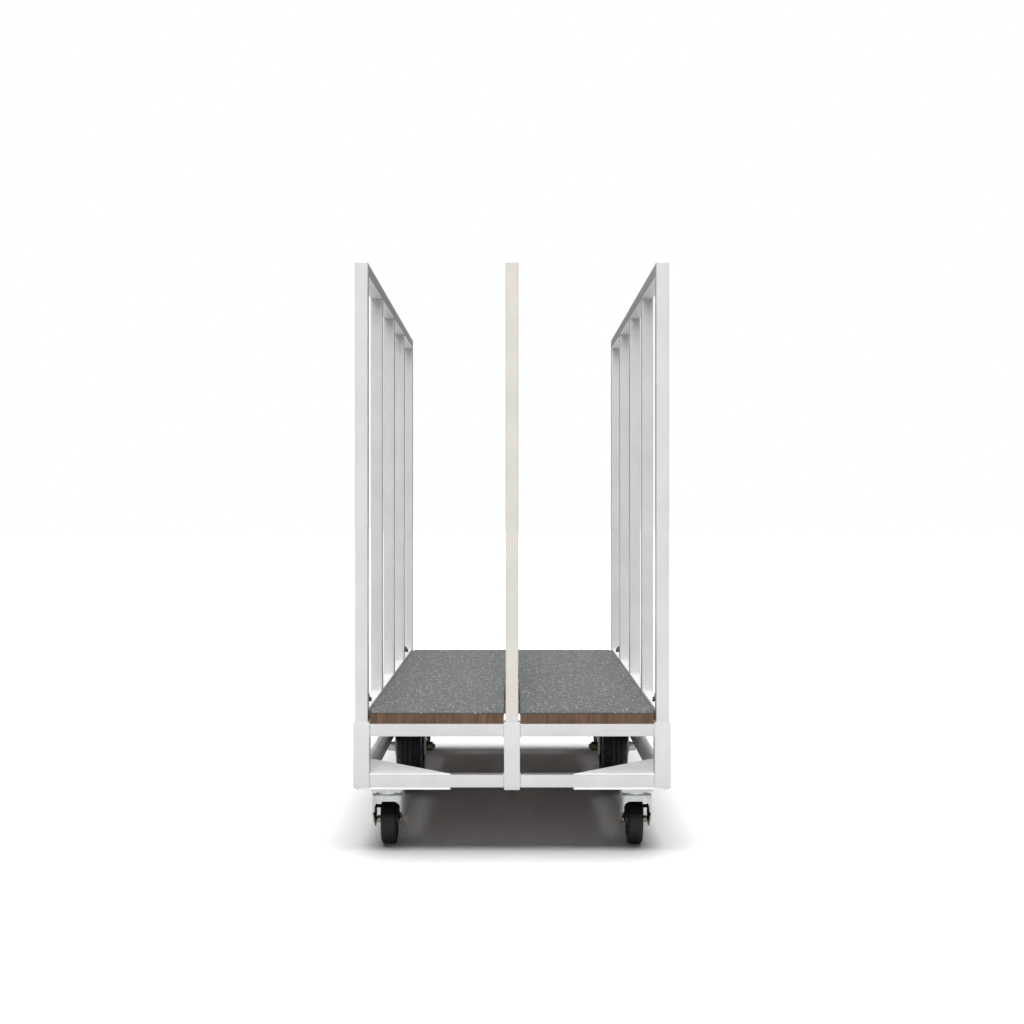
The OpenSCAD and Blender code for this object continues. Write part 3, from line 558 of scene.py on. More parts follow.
def rubber(tree, value):
    """Vulcanised black rubber: dull, with a fine moulded grain and road dust in patches of 22 mm."""
    normal = add(tree, "Bump", {"Height": patches(tree, 0.8), "Distance": 0.05 * MM})[0]
    dust = patches(tree, 22, 5, 0.65, low=0.42, high=0.75)
    return {**dusty(tree, value, dust, 1.7, (0.52, 0.8), 1.52), "Normal": normal,
            "Specular IOR Level": 0.35}


def moulded(tree, value, grain_mm=0.9, rough=0.45, glint=0.5):
    """Injection-moulded nylon: eroded-tool grain, satin, and slightly milky where the melt met."""
    normal = add(tree, "Bump", {"Height": patches(tree, grain_mm), "Distance": 0.06 * MM})[0]
    flow = patches(tree, 18, 3)
    return {**dusty(tree, value, flow, 1.3, (rough - 0.07, rough + 0.12), 1.53), "Normal": normal,
            "Specular IOR Level": glint}


def painted(tree, value):
    """Air-dried enamel on turned steel: semi-gloss, with fine levelling marks and dust."""
    normal = add(tree, "Bump", {"Height": patches(tree, 3, 1), "Distance": 0.03 * MM})[0]
    dust = patches(tree, 26, 5, low=0.45, high=0.8)
    return {**dusty(tree, value, dust, 1.5, (0.3, 0.6), 1.5), "Coat Weight": 0.25,
            "Coat Roughness": 0.2, "Normal": normal}


def painted_shade_zinc(tree, value):
    """Painted shade on zinc: a near-black colour that stands for the shade inside the caster forks, matt,
    and lifted in patches of 9 mm like a thin film of dust.
    """
    film = patches(tree, 9, 4, 0.6)
    return {**dusty(tree, value, film, 1.6, (0.8, 0.95), 1.45), "Specular IOR Level": 0.1}


FINISHES = {
    "powder": ("Powder coat white", lambda t, c: powder_coat(t, c.powder)),
    "warm_powder": ("Powder coat off-white", lambda t, c: powder_coat(t, c.warm_powder)),
    "zinc": ("Bright zinc plate", lambda t, c: zinc_plate(t, c.zinc)),
    "pale_zinc": ("Pale zinc plate", lambda t, c: zinc_plate(t, c.pale_zinc, 0.8, 6)),
    # Painted shade: the near-black material of the caster forks' inner faces.
    "painted_shade_zinc": ("Painted shade inner zinc", lambda t, c: painted_shade_zinc(t, c.fork_inside_shade)),
    "dull_zinc": ("Dull zinc plate", lambda t, c: zinc_plate(t, c.dull_zinc, 0.5, 5)),
    "ply": ("Stained plywood", lambda t, c: stained_ply(t, c.ply, c.ply_dark)),
    "carpet": ("Needle-punched carpet",
               lambda t, c: needle_carpet(t, c.carpet, c.carpet_dark_fibre_and_shade, c.carpet_light)),
    "rubber": ("Black tyre rubber", lambda t, c: rubber(t, c.rubber)),
    "nylon": ("Moulded dark nylon", lambda t, c: moulded(t, c.nylon)),
    # Painted shade: the pedal's black plastic is made darker still to stand for the shade it lies in.
    "pedal": ("Moulded black nylon", lambda t, c: moulded(t, c.pedal, 1.2, 0.6, 0.05)),
    "rim": ("Dark rim enamel", lambda t, c: painted(t, c.rim)),
}
made_finishes = {}


def surface(name, pattern):
    """Material whose one Principled surface takes the inputs that a pattern works out in its tree."""
    material = bpy.data.materials.new(name)
    material.use_nodes = True
    tree = material.node_tree
    tree.nodes.clear()
    shader = add(tree, "BsdfPrincipled", pattern(tree, bpy.context.scene.trolley_colours))
    add(tree, "OutputMaterial", {"Surface": shader[0]})
    return material


def finish(key):
    """The material of that key, made once."""
    if key not in made_finishes:
        made_finishes[key] = surface(*FINISHES[key])
    return made_finishes[key]


def refinish(key, slot, *nodes):
    """Gives frame nodes whose shape is right their material."""
    for name in nodes:
        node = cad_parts[name]
        node.data.materials.clear()
        node.data.materials.append(finish(key))


# Operators


def light_group(name):
    """Collection of the objects that some light reaches or that stand in its way, made once."""
    return bpy.data.collections.get(name) or bpy.data.collections.new(name)


class TrolleyOperator:
    """What all builders share: they work in the scene and can be undone."""
    bl_options = {"REGISTER", "UNDO"}

    def execute(self, context):
        self.build(context.scene.trolley_sizes)
        return {"FINISHED"}


class TROLLEY_OT_stage(TrolleyOperator, bpy.types.Operator):
    """Pale floor, soft studio light, and the camera at eye level in front"""
    bl_idname = "trolley.stage"
    bl_label = "Stage"

    FLOOR_HALF = 60.0
    CAMERA = (0.0, -4.375, 0.850)
    LENS_MM, SENSOR_MM = 50.0, 36.0
    # Name, elevation, azimuth, strength, width, and the groups that it reaches and that shade it
    SUNS = (("Wide top light", 84, 180, 3.9, 62, "The floor", None),
            ("Top light", 84, 180, 3.9, 24, "Not the floor", None),
            ("Front light", 18, 4, 2.08, 26, "Not the floor", "Not the floor"),
            ("Back light", 12, 180, 1.4, 26, "Not the floor", "Not the floor"),
            ("Light off the floor", -90, 0, 1.3, 50, "Open frames", "Not the floor"),
            ("Plate light", 60, 0, 2.3, 50, "Corner plates", "Corner plates"))
    GLOW = 0.02
    # Axis, side, power and strength of each lobe of the sky's light
    LOBES = (("Y", "MINIMUM", 8.0, 1.2), ("Y", "MAXIMUM", 4.0, 0.1), ("Z", "MAXIMUM", 4.0, 0.1))
    RETURN = 0.2

    def build(self, sizes):
        scene = bpy.context.scene
        scene.view_settings.view_transform = "Standard"
        camera = bpy.data.objects.new("Camera", bpy.data.cameras.new("Camera"))
        scene.collection.objects.link(camera)
        camera.location = self.CAMERA
        camera.rotation_euler = (TURN / 4, 0, 0)
        camera.data.lens = self.LENS_MM
        camera.data.sensor_width = self.SENSOR_MM
        camera.data.clip_end = 2 * self.FLOOR_HALF
        scene.camera = camera
        floor = self.floor()
        self.sky(scene)
        light_group("The floor").objects.link(floor)
        open_air = light_group("Not the floor")
        open_air.objects.link(floor)
        open_air.collection_objects[0].light_linking.link_state = "EXCLUDE"
        for name, height, way, strength, width, reached, shading in self.SUNS:
            data = bpy.data.lights.new(name, "SUN")
            data.energy = strength
            data.angle = math.radians(width)
            sun = bpy.data.objects.new(name, data)
            sun.rotation_euler = (math.radians(90 - height), 0, -math.radians(way))
            scene.collection.objects.link(sun)
            if reached:
                sun.light_linking.receiver_collection = light_group(reached)
            if shading:
                sun.light_linking.blocker_collection = light_group(shading)
                sun.visible_glossy = False

    def floor(self):
        """Wide flat sheet, whose faint clouds are too soft to show as a pattern. It throws back
        only a share on the trolley, while the eye still gets white."""
        across = np.linspace(-self.FLOOR_HALF, self.FLOOR_HALF, 9)
        x, y = np.meshgrid(across, across)
        mesh = bpy.data.meshes.new("Floor")
        points = np.stack([x, y, np.zeros_like(x)], axis=-1)
        index = np.arange(x.size).reshape(x.shape)
        quads = np.stack([index[:-1, :-1], index[:-1, 1:], index[1:, 1:], index[1:, :-1]], axis=-1)
        mesh.from_pydata(points.reshape(-1, 3), [], quads.reshape(-1, 4).tolist())
        floor = bpy.data.objects.new("Floor", mesh)
        bpy.context.scene.collection.objects.link(floor)
        mesh.materials.append(surface("Pale floor", self.floor_paint))
        return floor

    def floor_paint(self, tree, colours):
        """White for the eye, and a grey share of it for the light that goes back up."""
        pale = add(tree, "Mix", {0: patches(tree, 900), 6: linear(colours.floor, 0.99),
                                 7: linear(colours.floor)}, data_type="RGBA")[2]
        path = add(tree, "LightPath")
        seen = add(tree, "Math", {0: path["Is Camera Ray"], 1: path["Is Glossy Ray"]},
                   operation="MAXIMUM")[0]
        share = add(tree, "Math", {0: seen, 1: self.RETURN}, operation="MAXIMUM")[0]
        tint = add(tree, "Mix", {0: share, 6: linear("#000000"), 7: pale}, data_type="RGBA")[2]
        return {"Base Color": tint, "Roughness": 0.9, "Specular IOR Level": 0.0}

    def sky(self, scene):
        """White room for the eye. Its light is strongest ahead, behind and above, so that the sides of
        the tubes stay darker than their fronts: a low ground value, plus a share of a power of the
        direction's forward Y, backward Y and upward Z."""
        world = bpy.data.worlds.new("Studio")
        scene.world = world
        world.use_nodes = True
        tree = world.node_tree
        tree.nodes.clear()
        way = add(tree, "SeparateXYZ", {0: add(tree, "TexCoord")["Generated"]})
        glow = self.GLOW
        for axis, side, power, strength in self.LOBES:
            facing = add(tree, "Math", {0: way[axis], 1: 0.0}, operation=side)[0]
            facing = add(tree, "Math", {0: facing, 1: power}, operation="POWER")[0]
            glow = add(tree, "Math", {0: facing, 1: strength, 2: glow}, operation="MULTIPLY_ADD")[0]
        light = add(tree, "Background", {"Color": linear("#FFFFFF"), "Strength": glow})[0]
        white = add(tree, "Background", {"Color": linear("#FFFFFF"), "Strength": 1.0})[0]
        seen = add(tree, "LightPath")["Is Camera Ray"]
        both = add(tree, "MixShader", {0: seen, 1: light, 2: white})[0]
        add(tree, "OutputWorld", {"Surface": both})


def upright_frame(x):
    """Bars of one frame at x: posts, uprights, top rail and bottom rail, each as a list of boxes."""
    h = HALF_TUBE
    posts = [((x - h, y - h, POST_LOW[2]), (x + h, y + h, TOP[2])) for y in (-POST_Y, POST_Y)]
    uprights = [((x - h, y - h, UPRIGHT_LOW[2]), (x + h, y + h, UPRIGHT_HIGH[2])) for y in UPRIGHT_YS]
    rails = [[((x - h, low[1], low[2]), (x + h, high[1], high[2]))]
             for low, high in ((TOP_RAIL_LOW, TOP_RAIL_HIGH), (BOTTOM_LOW, BOTTOM_HIGH))]
    return posts, uprights, *rails


def frame_welds(skin, x, sizes):
    """Welds of one frame: fillets in the corners where the tubes meet, ground seams on the flush faces."""
    for y in UPRIGHT_YS:
        for z, facing in ((UPRIGHT_LOW[2], 1), (UPRIGHT_HIGH[2], -1)):
            tube_end_welds(skin, (x, y, z), Z_AXIS, facing, "ssww", sizes)
    for end in BOTH:
        for low, letters in ((TOP_RAIL_LOW[2], "swss"), (BOTTOM_LOW[2], "wwss")):
            centre = (x, end * (POST_Y - HALF_TUBE), low + HALF_TUBE)
            tube_end_welds(skin, centre, Y_AXIS, -end, letters, sizes)


def build_frames(xs, names, key, sizes, title):
    """Pieces of the frames at xs. names are the nodes for posts, uprights, top and bottom rails."""
    groups = [upright_frame(x) for x in xs]
    rows = zip(names, (Z_AXIS, Z_AXIS, Y_AXIS, Y_AXIS), (sizes.post_crown, *[SAWN_EDGE] * 3), zip(*groups))
    for name, axis, edge, boxes in rows:
        skin = Skin()
        for low, high in sum(boxes, []):
            bar(skin, low, high, axis, sizes.tube_corner, edge)
        light_group("Open frames").objects.link(skin.coated(name, key))
    skin = Skin()
    for x in xs:
        frame_welds(skin, x, sizes)
    skin.beads(title, key)


class TROLLEY_OT_side_frames(TrolleyOperator, bpy.types.Operator):
    """The two side frames: posts, uprights and rails of square tube with their welds"""
    bl_idname = "trolley.side_frames"
    bl_label = "Side frames"

    def build(self, sizes):
        names = ["side_frame_" + part for part in ("posts", "uprights", "top_rails", "bottom_rails")]
        build_frames((-POST_X, POST_X), names, "powder", sizes, "side_frame")


class TROLLEY_OT_divider(TrolleyOperator, bpy.types.Operator):
    """The middle frame, which parts the two decks, in a warmer white"""
    bl_idname = "trolley.divider"
    bl_label = "Divider"

    def build(self, sizes):
        names = ["divider_" + part for part in ("posts", "uprights", "top_rail", "bottom_rail")]
        build_frames((0.0,), names, "warm_powder", sizes, "divider")


class TROLLEY_OT_base(TrolleyOperator, bpy.types.Operator):
    """Rails and joists of the base, their sockets, and the welds that join them"""
    bl_idname = "trolley.base"
    bl_label = "Base"

    RIM = 0.7 * MM

    def build(self, sizes):
        lower, upper = LOWER_LOW[2] + HALF_TUBE, UPPER_LOW[2] + HALF_TUBE
        span = POST_Y - HALF_SOCKET
        ends = self.cross_runs(HALF_SOCKET, POST_X - HALF_SOCKET, POST_Y)
        sides = [((x, -span), (x, span)) for x in (-POST_X, POST_X)]
        joists, wheel_joists = (self.cross_runs(HALF_TUBE, POST_X - HALF_TUBE, y)
                                for y in (JOIST_Y, WHEEL_JOIST_Y))
        welds = Skin()
        for name, axis, runs, levels in (
            ("end_upper_rails", X_AXIS, ends, ((upper, "wwww"),)),
            ("end_lower_rails", X_AXIS, ends, ((lower, "www-"),)),
            ("side_upper_rails", Y_AXIS, sides, ((upper, "wwww"),)),
            ("side_lower_rails", Y_AXIS, sides, ((lower, "w-ww"),)),
            ("center_rails", Y_AXIS, [((0, -span), (0, span))], ((lower, "w-ww"), (upper, "wwww"))),
            ("deck_joists", X_AXIS, joists, ((upper, "ww-s"),)),
            ("wheel_joists", X_AXIS, wheel_joists, ((upper, "ww-s"),)),
        ):
            skin = Skin()
            for z, letters in levels:
                for start, end in runs:
                    self.tube(skin, welds, np.array([*start, z]), np.array([*end, z]), axis, letters, sizes)
            skin.coated(name)
        welds.beads("base")
        for name, xs in (("corner_sockets", (-POST_X, POST_X)), ("center_sockets", (0.0,))):
            skin = Skin()
            for x in xs:
                for y in (-POST_Y, POST_Y):
                    self.socket(skin, x, y, sizes)
            skin.coated(name)

    def cross_runs(self, near, far, y):
        """Middle lines in plan of four tubes across the base, each from its inner to its outer end."""
        return [((side * near, end * y), (side * far, end * y)) for side in BOTH for end in BOTH]

    def tube(self, skin, welds, start, end, axis, letters, sizes):
        """Square tube round the line from start to end, with the welds at both ends."""
        way = np.sign(end - start)[axis]
        margin = np.full(3, HALF_TUBE)
        margin[axis] = 0
        bar(skin, np.minimum(start, end) - margin, np.maximum(start, end) + margin, axis,
            sizes.tube_corner)
        for at, facing in ((start, way), (end, -way)):
            tube_end_welds(welds, at, axis, facing, letters, sizes)

    def socket(self, skin, x, y, sizes):
        """Open square sleeve: the section runs up outside, over a round rim, and down inside."""
        low, high = SOCKET_LOW[2], SOCKET_HIGH[2]
        wall, rim = SOCKET_WALL, self.RIM
        inset = [rim, 0, 0, rim / 3, rim, wall - rim, wall - rim / 3, wall, wall, wall - rim]
        height = [low, low + rim, high - rim, high - rim / 3, high, high, high - rim / 3, high - rim,
                  low + rim, low]
        corners = rectangle((x - HALF_SOCKET, y - HALF_SOCKET), (x + HALF_SOCKET, y + HALF_SOCKET))
        rings = [lift(outline(corners, sizes.socket_corner, i), z, Z_AXIS)
                 for i, z in zip(inset, height)]
        skin.grid(rings, around=True, closed=True)


class TROLLEY_OT_plates(TrolleyOperator, bpy.types.Operator):
    """Corner gussets, caster mounting plates and the small plates under the centre sockets"""
    bl_idname = "trolley.plates"
    bl_label = "Plates"

    LEG = 240.5 * MM
    CHAMFER = 9 * MM
    CORNER = 1.2 * MM
    END_CORNER = 1.6 * MM
    TACK = 32 * MM
    # Places of the tacks along a leg, and their size against the other welds
    TACK_PLACES = (0.32, 0.78)
    TACK_SIZE = 0.8

    def build(self, sizes):
        edge_x, edge_y = POST_X + HALF_TUBE, POST_Y + HALF_TUBE
        inner_x, inner_y = POST_X - HALF_SOCKET, POST_Y - HALF_SOCKET
        start, end = (edge_x, edge_y - self.LEG), (edge_x - self.LEG, edge_y)
        notch = [(edge_x, inner_y), (inner_x, inner_y), (inner_x, edge_y)]
        chamfer = [(edge_x, edge_y - self.CHAMFER), (edge_x - self.CHAMFER, edge_y)]
        welds = Skin()
        for name, middle, up in (("corner_gussets", notch, -1), ("caster_mounting_plates", chamfer, 1)):
            skin = Skin()
            low, high = (v[2] for v in node_box(name))
            for x in BOTH:
                for y in BOTH:
                    corners = np.array([start, *middle, end]) * (x, y)
                    slab(skin, corners if x == y else corners[::-1], self.CORNER, low, high,
                         sizes.plate_edge)
                    self.tacks(welds, x, y, low if up < 0 else high, up, sizes)
            light_group("Corner plates").objects.link(skin.coated(name))
        skin = Skin()
        low, high = node_box("socket_end_plates")
        for y in (-POST_Y, POST_Y):
            corners = rectangle((low[0], y - HALF_SOCKET), (high[0], y + HALF_SOCKET))
            slab(skin, corners, self.END_CORNER, low[2], high[2], sizes.plate_edge)
        skin.coated("socket_end_plates")
        welds.beads("plate")

    def tacks(self, skin, x, y, z, up, sizes):
        """Short welds where a plate's inner part crosses the inner faces of the two rails."""
        section = fillet(self.TACK_SIZE * sizes.weld_leg)
        for place in self.TACK_PLACES:
            for axis, out in ((Y_AXIS, (-x, 0, 0)), (X_AXIS, (0, -y, 0))):
                middle = np.array([x * (POST_X - HALF_TUBE), y * (POST_Y - HALF_TUBE), z])
                middle[axis] = (x * (POST_X - self.LEG * place), y * (POST_Y - self.LEG * place))[axis]
                run = np.zeros(3)
                run[axis] = self.TACK / 2
                weld(skin, section, middle - run, middle + run, out, (0, 0, up), sizes.weld_pitch)


NOTCH = 4 * MM
NOTCH_Y = POST_Y - HALF_SOCKET - 1 * MM


def deck_outline(side, low, high):
    """Outline of a board, anticlockwise, with a notch at each outer corner."""
    inner, outer = sorted((abs(low[0]), abs(high[0])))
    half, notch_x = high[1], outer - NOTCH
    right = [(inner, -half), (notch_x, -half), (notch_x, -NOTCH_Y), (outer, -NOTCH_Y),
             (outer, NOTCH_Y), (notch_x, NOTCH_Y), (notch_x, half), (inner, half)]
    return right if side > 0 else [(-x, y) for x, y in right[::-1]]


class TROLLEY_OT_boards(TrolleyOperator, bpy.types.Operator):
    """The two plywood boards of the deck, notched round the corner sockets"""
    bl_idname = "trolley.boards"
    bl_label = "Deck boards"

    CORNER = 1.2 * MM

    def build(self, sizes):
        for side, name in ((-1, "left_deck_board"), (1, "right_deck_board")):
            skin = Skin()
            low, high = node_box(name)
            slab(skin, deck_outline(side, low, high), self.CORNER, low[2], high[2], sizes.board_edge)
            skin.piece("stained_" + name, "base", "film_plywood", finish("ply"), [name])
        refinish("zinc", "zinc_steel", "deck_screws")


class TROLLEY_OT_carpets(TrolleyOperator, bpy.types.Operator):
    """The needle-punched carpets on the boards, with a tufted top and fuzzy edges"""
    bl_idname = "trolley.carpets"
    bl_label = "Deck carpets"

    # How far the pile sinks at the rim, over which width, and how far the rim's fibres stray
    RIM_SINK = 0.7 * MM
    RIM_WIDTH = 3 * MM
    FUZZ = 0.35 * MM
    NOTCH_STEP = 0.05 * MM

    def build(self, sizes):
        for side, name in ((-1, "left_deck_carpet"), (1, "right_deck_carpet")):
            skin = Skin()
            self.carpet(skin, side, *node_box(name), sizes, np.random.default_rng(20 + side))
            skin.piece(name.replace("deck", "needled"), "base", "deck_carpet", finish("carpet"),
                       [name], sharp=80)

    def carpet(self, skin, side, low, high, sizes, random):
        """Section rings at even steps along Y: bottom, outer edge, tufted top, inner edge. Each tuft
        lifts its own point by a random share of the pile height, and the rim sinks in a soft step."""
        half = high[1]
        inner, outer = sorted((abs(low[0]), abs(high[0])))
        rows = round(2 * half / sizes.pile_spacing)
        columns = round((outer - inner) / sizes.pile_spacing)
        notches = [-NOTCH_Y - self.NOTCH_STEP, -NOTCH_Y, NOTCH_Y, NOTCH_Y + self.NOTCH_STEP]
        y = np.unique(np.concatenate([np.linspace(-half, half, rows), notches]))
        edge = np.where(np.abs(y) > NOTCH_Y, outer - NOTCH, outer)
        across = np.linspace(0, 1, columns)
        x = inner + across * (edge[:, None] - inner)
        rim = np.minimum(np.minimum(x - inner, edge[:, None] - x), (half - np.abs(y))[:, None])
        sink = self.RIM_SINK * (1 - smooth(rim / self.RIM_WIDTH))
        top = high[2] - sizes.pile_height * (1 - random.random(x.shape)) - sink
        fuzz = self.FUZZ * (random.random((len(y), 2)) - 1)
        rings = np.zeros((len(y), columns + 2, 3))
        rings[:, 1:-1, 0] = side * x
        rings[:, 1:-1, 2] = top
        rings[:, 0, 0] = side * (inner - fuzz[:, 0])
        rings[:, -1, 0] = side * (edge + fuzz[:, 1])
        rings[:, 0, 2] = rings[:, -1, 2] = low[2]
        rings[..., 1] = y[:, None]
        skin.grid(rings, around=True, caps=True)


class TROLLEY_OT_caster_heads(TrolleyOperator, bpy.types.Operator):
    """Top plates, swivel races and kingpins of the four corner casters"""
    bl_idname = "trolley.caster_heads"
    bl_label = "Caster heads"

    PLATE_CORNER = 3 * MM
    PIN_R = 7 * MM
    PIN_THREAD_R, PIN_THREAD = 6.8 * MM, 6.5 * MM
    PIN_PITCH = 2 * MM
    NUT_FLATS = 22 * MM
    NUT = (2.5 * MM, 11.5 * MM)
    # Low collar of the kingpin under the top plate: depths below it and radii
    COLLAR_DEPTHS = (3.5 * MM, 2.9 * MM, 0.1 * MM)
    COLLAR_RADII = (11.4 * MM, 12 * MM, 12 * MM)
    RACE_R, RACE_BORE = 39.5 * MM, 30.3 * MM

    def build(self, sizes):
        plates, races, pins = Skin(), Skin(), Skin()
        low, high = PLATE_LOW[2], PLATE_HIGH[2]
        race_ends = [v[2] for v in node_box("caster_races")]
        pin_low = node_box("caster_kingpins")[0][2]
        half = np.array(TOP_PLATE) / 2
        for x, y in CASTERS.values():
            centre = np.array([x * CASTER_X, y * CASTER_Y, 0])
            corners = rectangle(centre[:2] - half, centre[:2] + half)
            slab(plates, corners, self.PLATE_CORNER, low, high, sizes.plate_edge)
            self.race(races, centre, *race_ends)
            thread_top = pin_low + self.PIN_THREAD
            shaft(pins, centre, Z_AXIS, self.PIN_R, thread_top - LAP, high)
            thread(pins, centre, Z_AXIS, self.PIN_THREAD_R, thread_top, pin_low, self.PIN_PITCH)
            spin(pins, centre, Z_AXIS, low - np.array(self.COLLAR_DEPTHS), self.COLLAR_RADII, 40)
            hexagon(pins, centre, Z_AXIS, self.NUT_FLATS, *(pin_low + v for v in self.NUT))
        for skin, title, node in ((plates, "zinc_top_plates", "caster_top_plates"),
                                  (races, "zinc_races", "caster_races"),
                                  (pins, "zinc_kingpins", "caster_kingpins")):
            skin.piece(title, "base", "zinc_steel", finish("zinc"), [node])
        refinish("zinc", "zinc_steel", "caster_ball_rings")

    def race(self, skin, centre, low, high):
        """Pressed race: a straight drum with a rolled lower lip and a shallow groove above it."""
        outer, bore, groove = self.RACE_R, self.RACE_BORE, 0.5 * MM
        profile = [(low, bore), (low, outer), (low + 1.8 * MM, outer), (low + 2.3 * MM, outer - groove),
                   (low + 2.8 * MM, outer), (high, outer), (high, bore)]
        radii = np.array([0.5, 0.8, 0.2, 0.2, 0.2, 0.5, 0.5]) * MM
        heights, radii = rounded(profile[::-1], radii[::-1])
        spin(skin, centre, Z_AXIS, heights, radii, 72, closed=True)


class TROLLEY_OT_caster_forks(TrolleyOperator, bpy.types.Operator):
    """Pressed forks of the corner casters: crown, arched front wall and straight legs"""
    bl_idname = "trolley.caster_forks"
    bl_label = "Caster forks"

    PLAN_CORNER = 11 * MM
    CROWN_EDGE = 1.6 * MM
    FRONT_Y = -38 * MM
    BACK_Y = 38 * MM
    ARCH_TOP = FORK_TOP - 15 * MM
    ARCH_CORNER = 15 * MM
    ARCH_HALF = LEG_OUT - FORK_SHEET - 2 * MM
    WALL_LOW = FORK_TOP - 40 * MM
    BACK_LIP = 5 * MM
    PIN_HOLE_R = 8 * MM
    SHEARED_EDGE = 0.5 * MM
    FLANGE_STEP = 0.05 * MM

    def build(self, sizes):
        for name, (x, y) in CASTERS.items():
            skin = Skin()
            skin.place((x * CASTER_X, y * CASTER_Y, 0), -y)
            skin.grid(self.shell())
            # Painted shade: the fork's inner faces get the near-black painted shade material, its outer
            # faces and the sheet's rims bright zinc.
            fork = skin.piece(f"zinc_{name}_fork", name + "_swivel", "zinc_steel", finish("painted_shade_zinc"),
                              [name + "_fork"], sharp=50, shell=True)
            wall = fork.modifiers.new("Sheet", "SOLIDIFY")
            wall.thickness = FORK_SHEET
            wall.offset = -1.0
            wall.use_even_offset = True
            fork.data.materials.append(finish("zinc"))
            wall.material_offset = 1
            wall.material_offset_rim = 1
            rim = fork.modifiers.new("Sheared edge", "BEVEL")
            rim.width = self.SHEARED_EDGE
            rim.segments = 2
            rim.limit_method = "ANGLE"
            rim.angle_limit = math.radians(50)

    def front_half(self):
        """Front and front corner of the right half in plan, each point with its lower edge: the arch is
        level, then a quarter circle down to the side of the opening. Past that side, which two columns
        close together make sharp, the flange runs down to the line of the leg's edge."""
        c, low = self.PLAN_CORNER, self.ARCH_TOP - self.ARCH_CORNER
        level = self.ARCH_HALF - self.ARCH_CORNER
        sines, cosines = quarter(8)
        flange = self.ARCH_HALF + self.FLANGE_STEP
        turn = np.linspace(math.acos((flange - LEG_OUT + c) / c), 0, 7)
        x = np.concatenate([np.linspace(0, level, 6)[:-1], level + self.ARCH_CORNER * sines,
                            LEG_OUT - c + c * np.cos(turn)])
        past = np.maximum(x - LEG_OUT + c, 0)
        y = self.FRONT_Y + c - np.sqrt(np.maximum(c * c - past * past, 0))
        start = np.array([self.FRONT_Y, self.WALL_LOW])
        end = self.touch(start, -1)
        slope = (end - start)[1] / (end - start)[0]
        foot = np.concatenate([np.full(5, self.ARCH_TOP), low + self.ARCH_CORNER * cosines,
                               self.WALL_LOW + (y[-7:] - self.FRONT_Y) * slope])
        return np.stack([x, y], 1), np.stack([y, foot], 1)

    def half_plan(self):
        """Right half of the fork's plan from the middle of the front to the middle of the back, with the
        point of the lower edge that each plan point leads to. The plan is a rectangle with round corners.
        Under a side the lower edge is the leg: a line to the axle boss, an arc round it, a line back."""
        c, half = self.PLAN_CORNER, LEG_OUT
        front, front_foot = self.front_half()
        side_y = np.linspace(self.FRONT_Y + c, self.BACK_Y - c, 42)[1:]
        turn = np.linspace(0, TURN / 4, 9)[1:]
        back = np.stack([half - c + c * np.cos(turn), self.BACK_Y - c + c * np.sin(turn)], 1)
        back_x = np.linspace(half - c, 0, 9)[1:]
        back = np.concatenate([back, np.stack([back_x, np.full(8, self.BACK_Y)], 1)])
        plan = np.concatenate([front, np.stack([np.full(len(side_y), half), side_y], 1), back])
        lip = FORK_TOP - self.BACK_LIP
        leg = self.leg_edge(front_foot[-1], np.array([self.BACK_Y - c, lip]), len(side_y))
        foot = np.concatenate([front_foot, leg, np.stack([back[:, 1], np.full(len(back), lip)], 1)])
        return plan, foot

    def touch(self, point, side):
        """Where the tangent from a point beside the leg touches the circle of the axle boss."""
        gap = np.array([CASTER_TRAIL, CASTER_R]) - point
        distance = np.linalg.norm(gap)
        angle = math.atan2(gap[1], gap[0]) + side * math.asin(LEG_BOSS / distance)
        reach = math.sqrt(distance ** 2 - LEG_BOSS ** 2)
        return point + reach * np.array([math.cos(angle), math.sin(angle)])

    def leg_edge(self, front, back, count):
        """Points in Y and Z along the leg's edge, after its front end: down to the boss circle along the
        tangent, round it, and up along the other tangent."""
        axle = np.array([CASTER_TRAIL, CASTER_R])
        ends = self.touch(front, -1), self.touch(back, 1)
        turns = [math.atan2(*(e - axle)[::-1]) for e in ends]
        arc = np.linspace(turns[0], turns[1] + (TURN if turns[1] < turns[0] else 0), count // 2)
        down = (count - len(arc)) // 2
        up = count - len(arc) - down
        line_down = front + np.linspace(0, 1, down + 1)[1:, None] * (ends[0] - front)
        line_up = ends[1] + np.linspace(0, 1, up + 1)[1:, None] * (back - ends[1])
        round_boss = axle + LEG_BOSS * np.stack([np.cos(arc), np.sin(arc)], 1)
        return np.concatenate([line_down[:-1], round_boss, line_up, line_up[-1:]])[:count]

    def shell(self):
        """Outer face of the fork. From the kingpin hole the surface runs out over the crown, bends over
        a round edge, and falls straight to the lower edge."""
        plan, foot = self.half_plan()
        mirror = (-1, 1)
        plan = np.concatenate([plan, (plan * mirror)[-2::-1]])
        foot = np.concatenate([foot, foot[-2::-1]])
        out = self.outward(plan)
        hole = self.PIN_HOLE_R * plan / np.linalg.norm(plan, axis=1)[:, None]
        crown = plan - out * self.CROWN_EDGE
        flats = [hole + (crown - hole) * t for t in np.linspace(0, 1, 7)]
        sines, cosines = quarter(4)
        flats += [crown + out * self.CROWN_EDGE * s for s in sines[1:]]
        drops = np.concatenate([np.zeros(7), self.CROWN_EDGE * (1 - cosines[1:])])
        rows = [np.column_stack([flat, np.full(len(plan), FORK_TOP - drop)])
                for flat, drop in zip(flats, drops)]
        start = np.column_stack([plan, np.full(len(plan), FORK_TOP - self.CROWN_EDGE)])
        end = np.column_stack([plan[:, 0], foot])
        rows += [start + (end - start) * t for t in np.linspace(0, 1, 19)[1:]]
        grid = np.array(rows)
        return np.concatenate([grid, grid[:, :1]], axis=1)

    def outward(self, plan):
        """Unit directions in plan, square to the outline."""
        inner = np.array([LEG_OUT, self.BACK_Y]) - self.PLAN_CORNER
        gap = plan - np.clip(plan, -inner, inner)
        return gap / np.linalg.norm(gap, axis=1)[:, None]


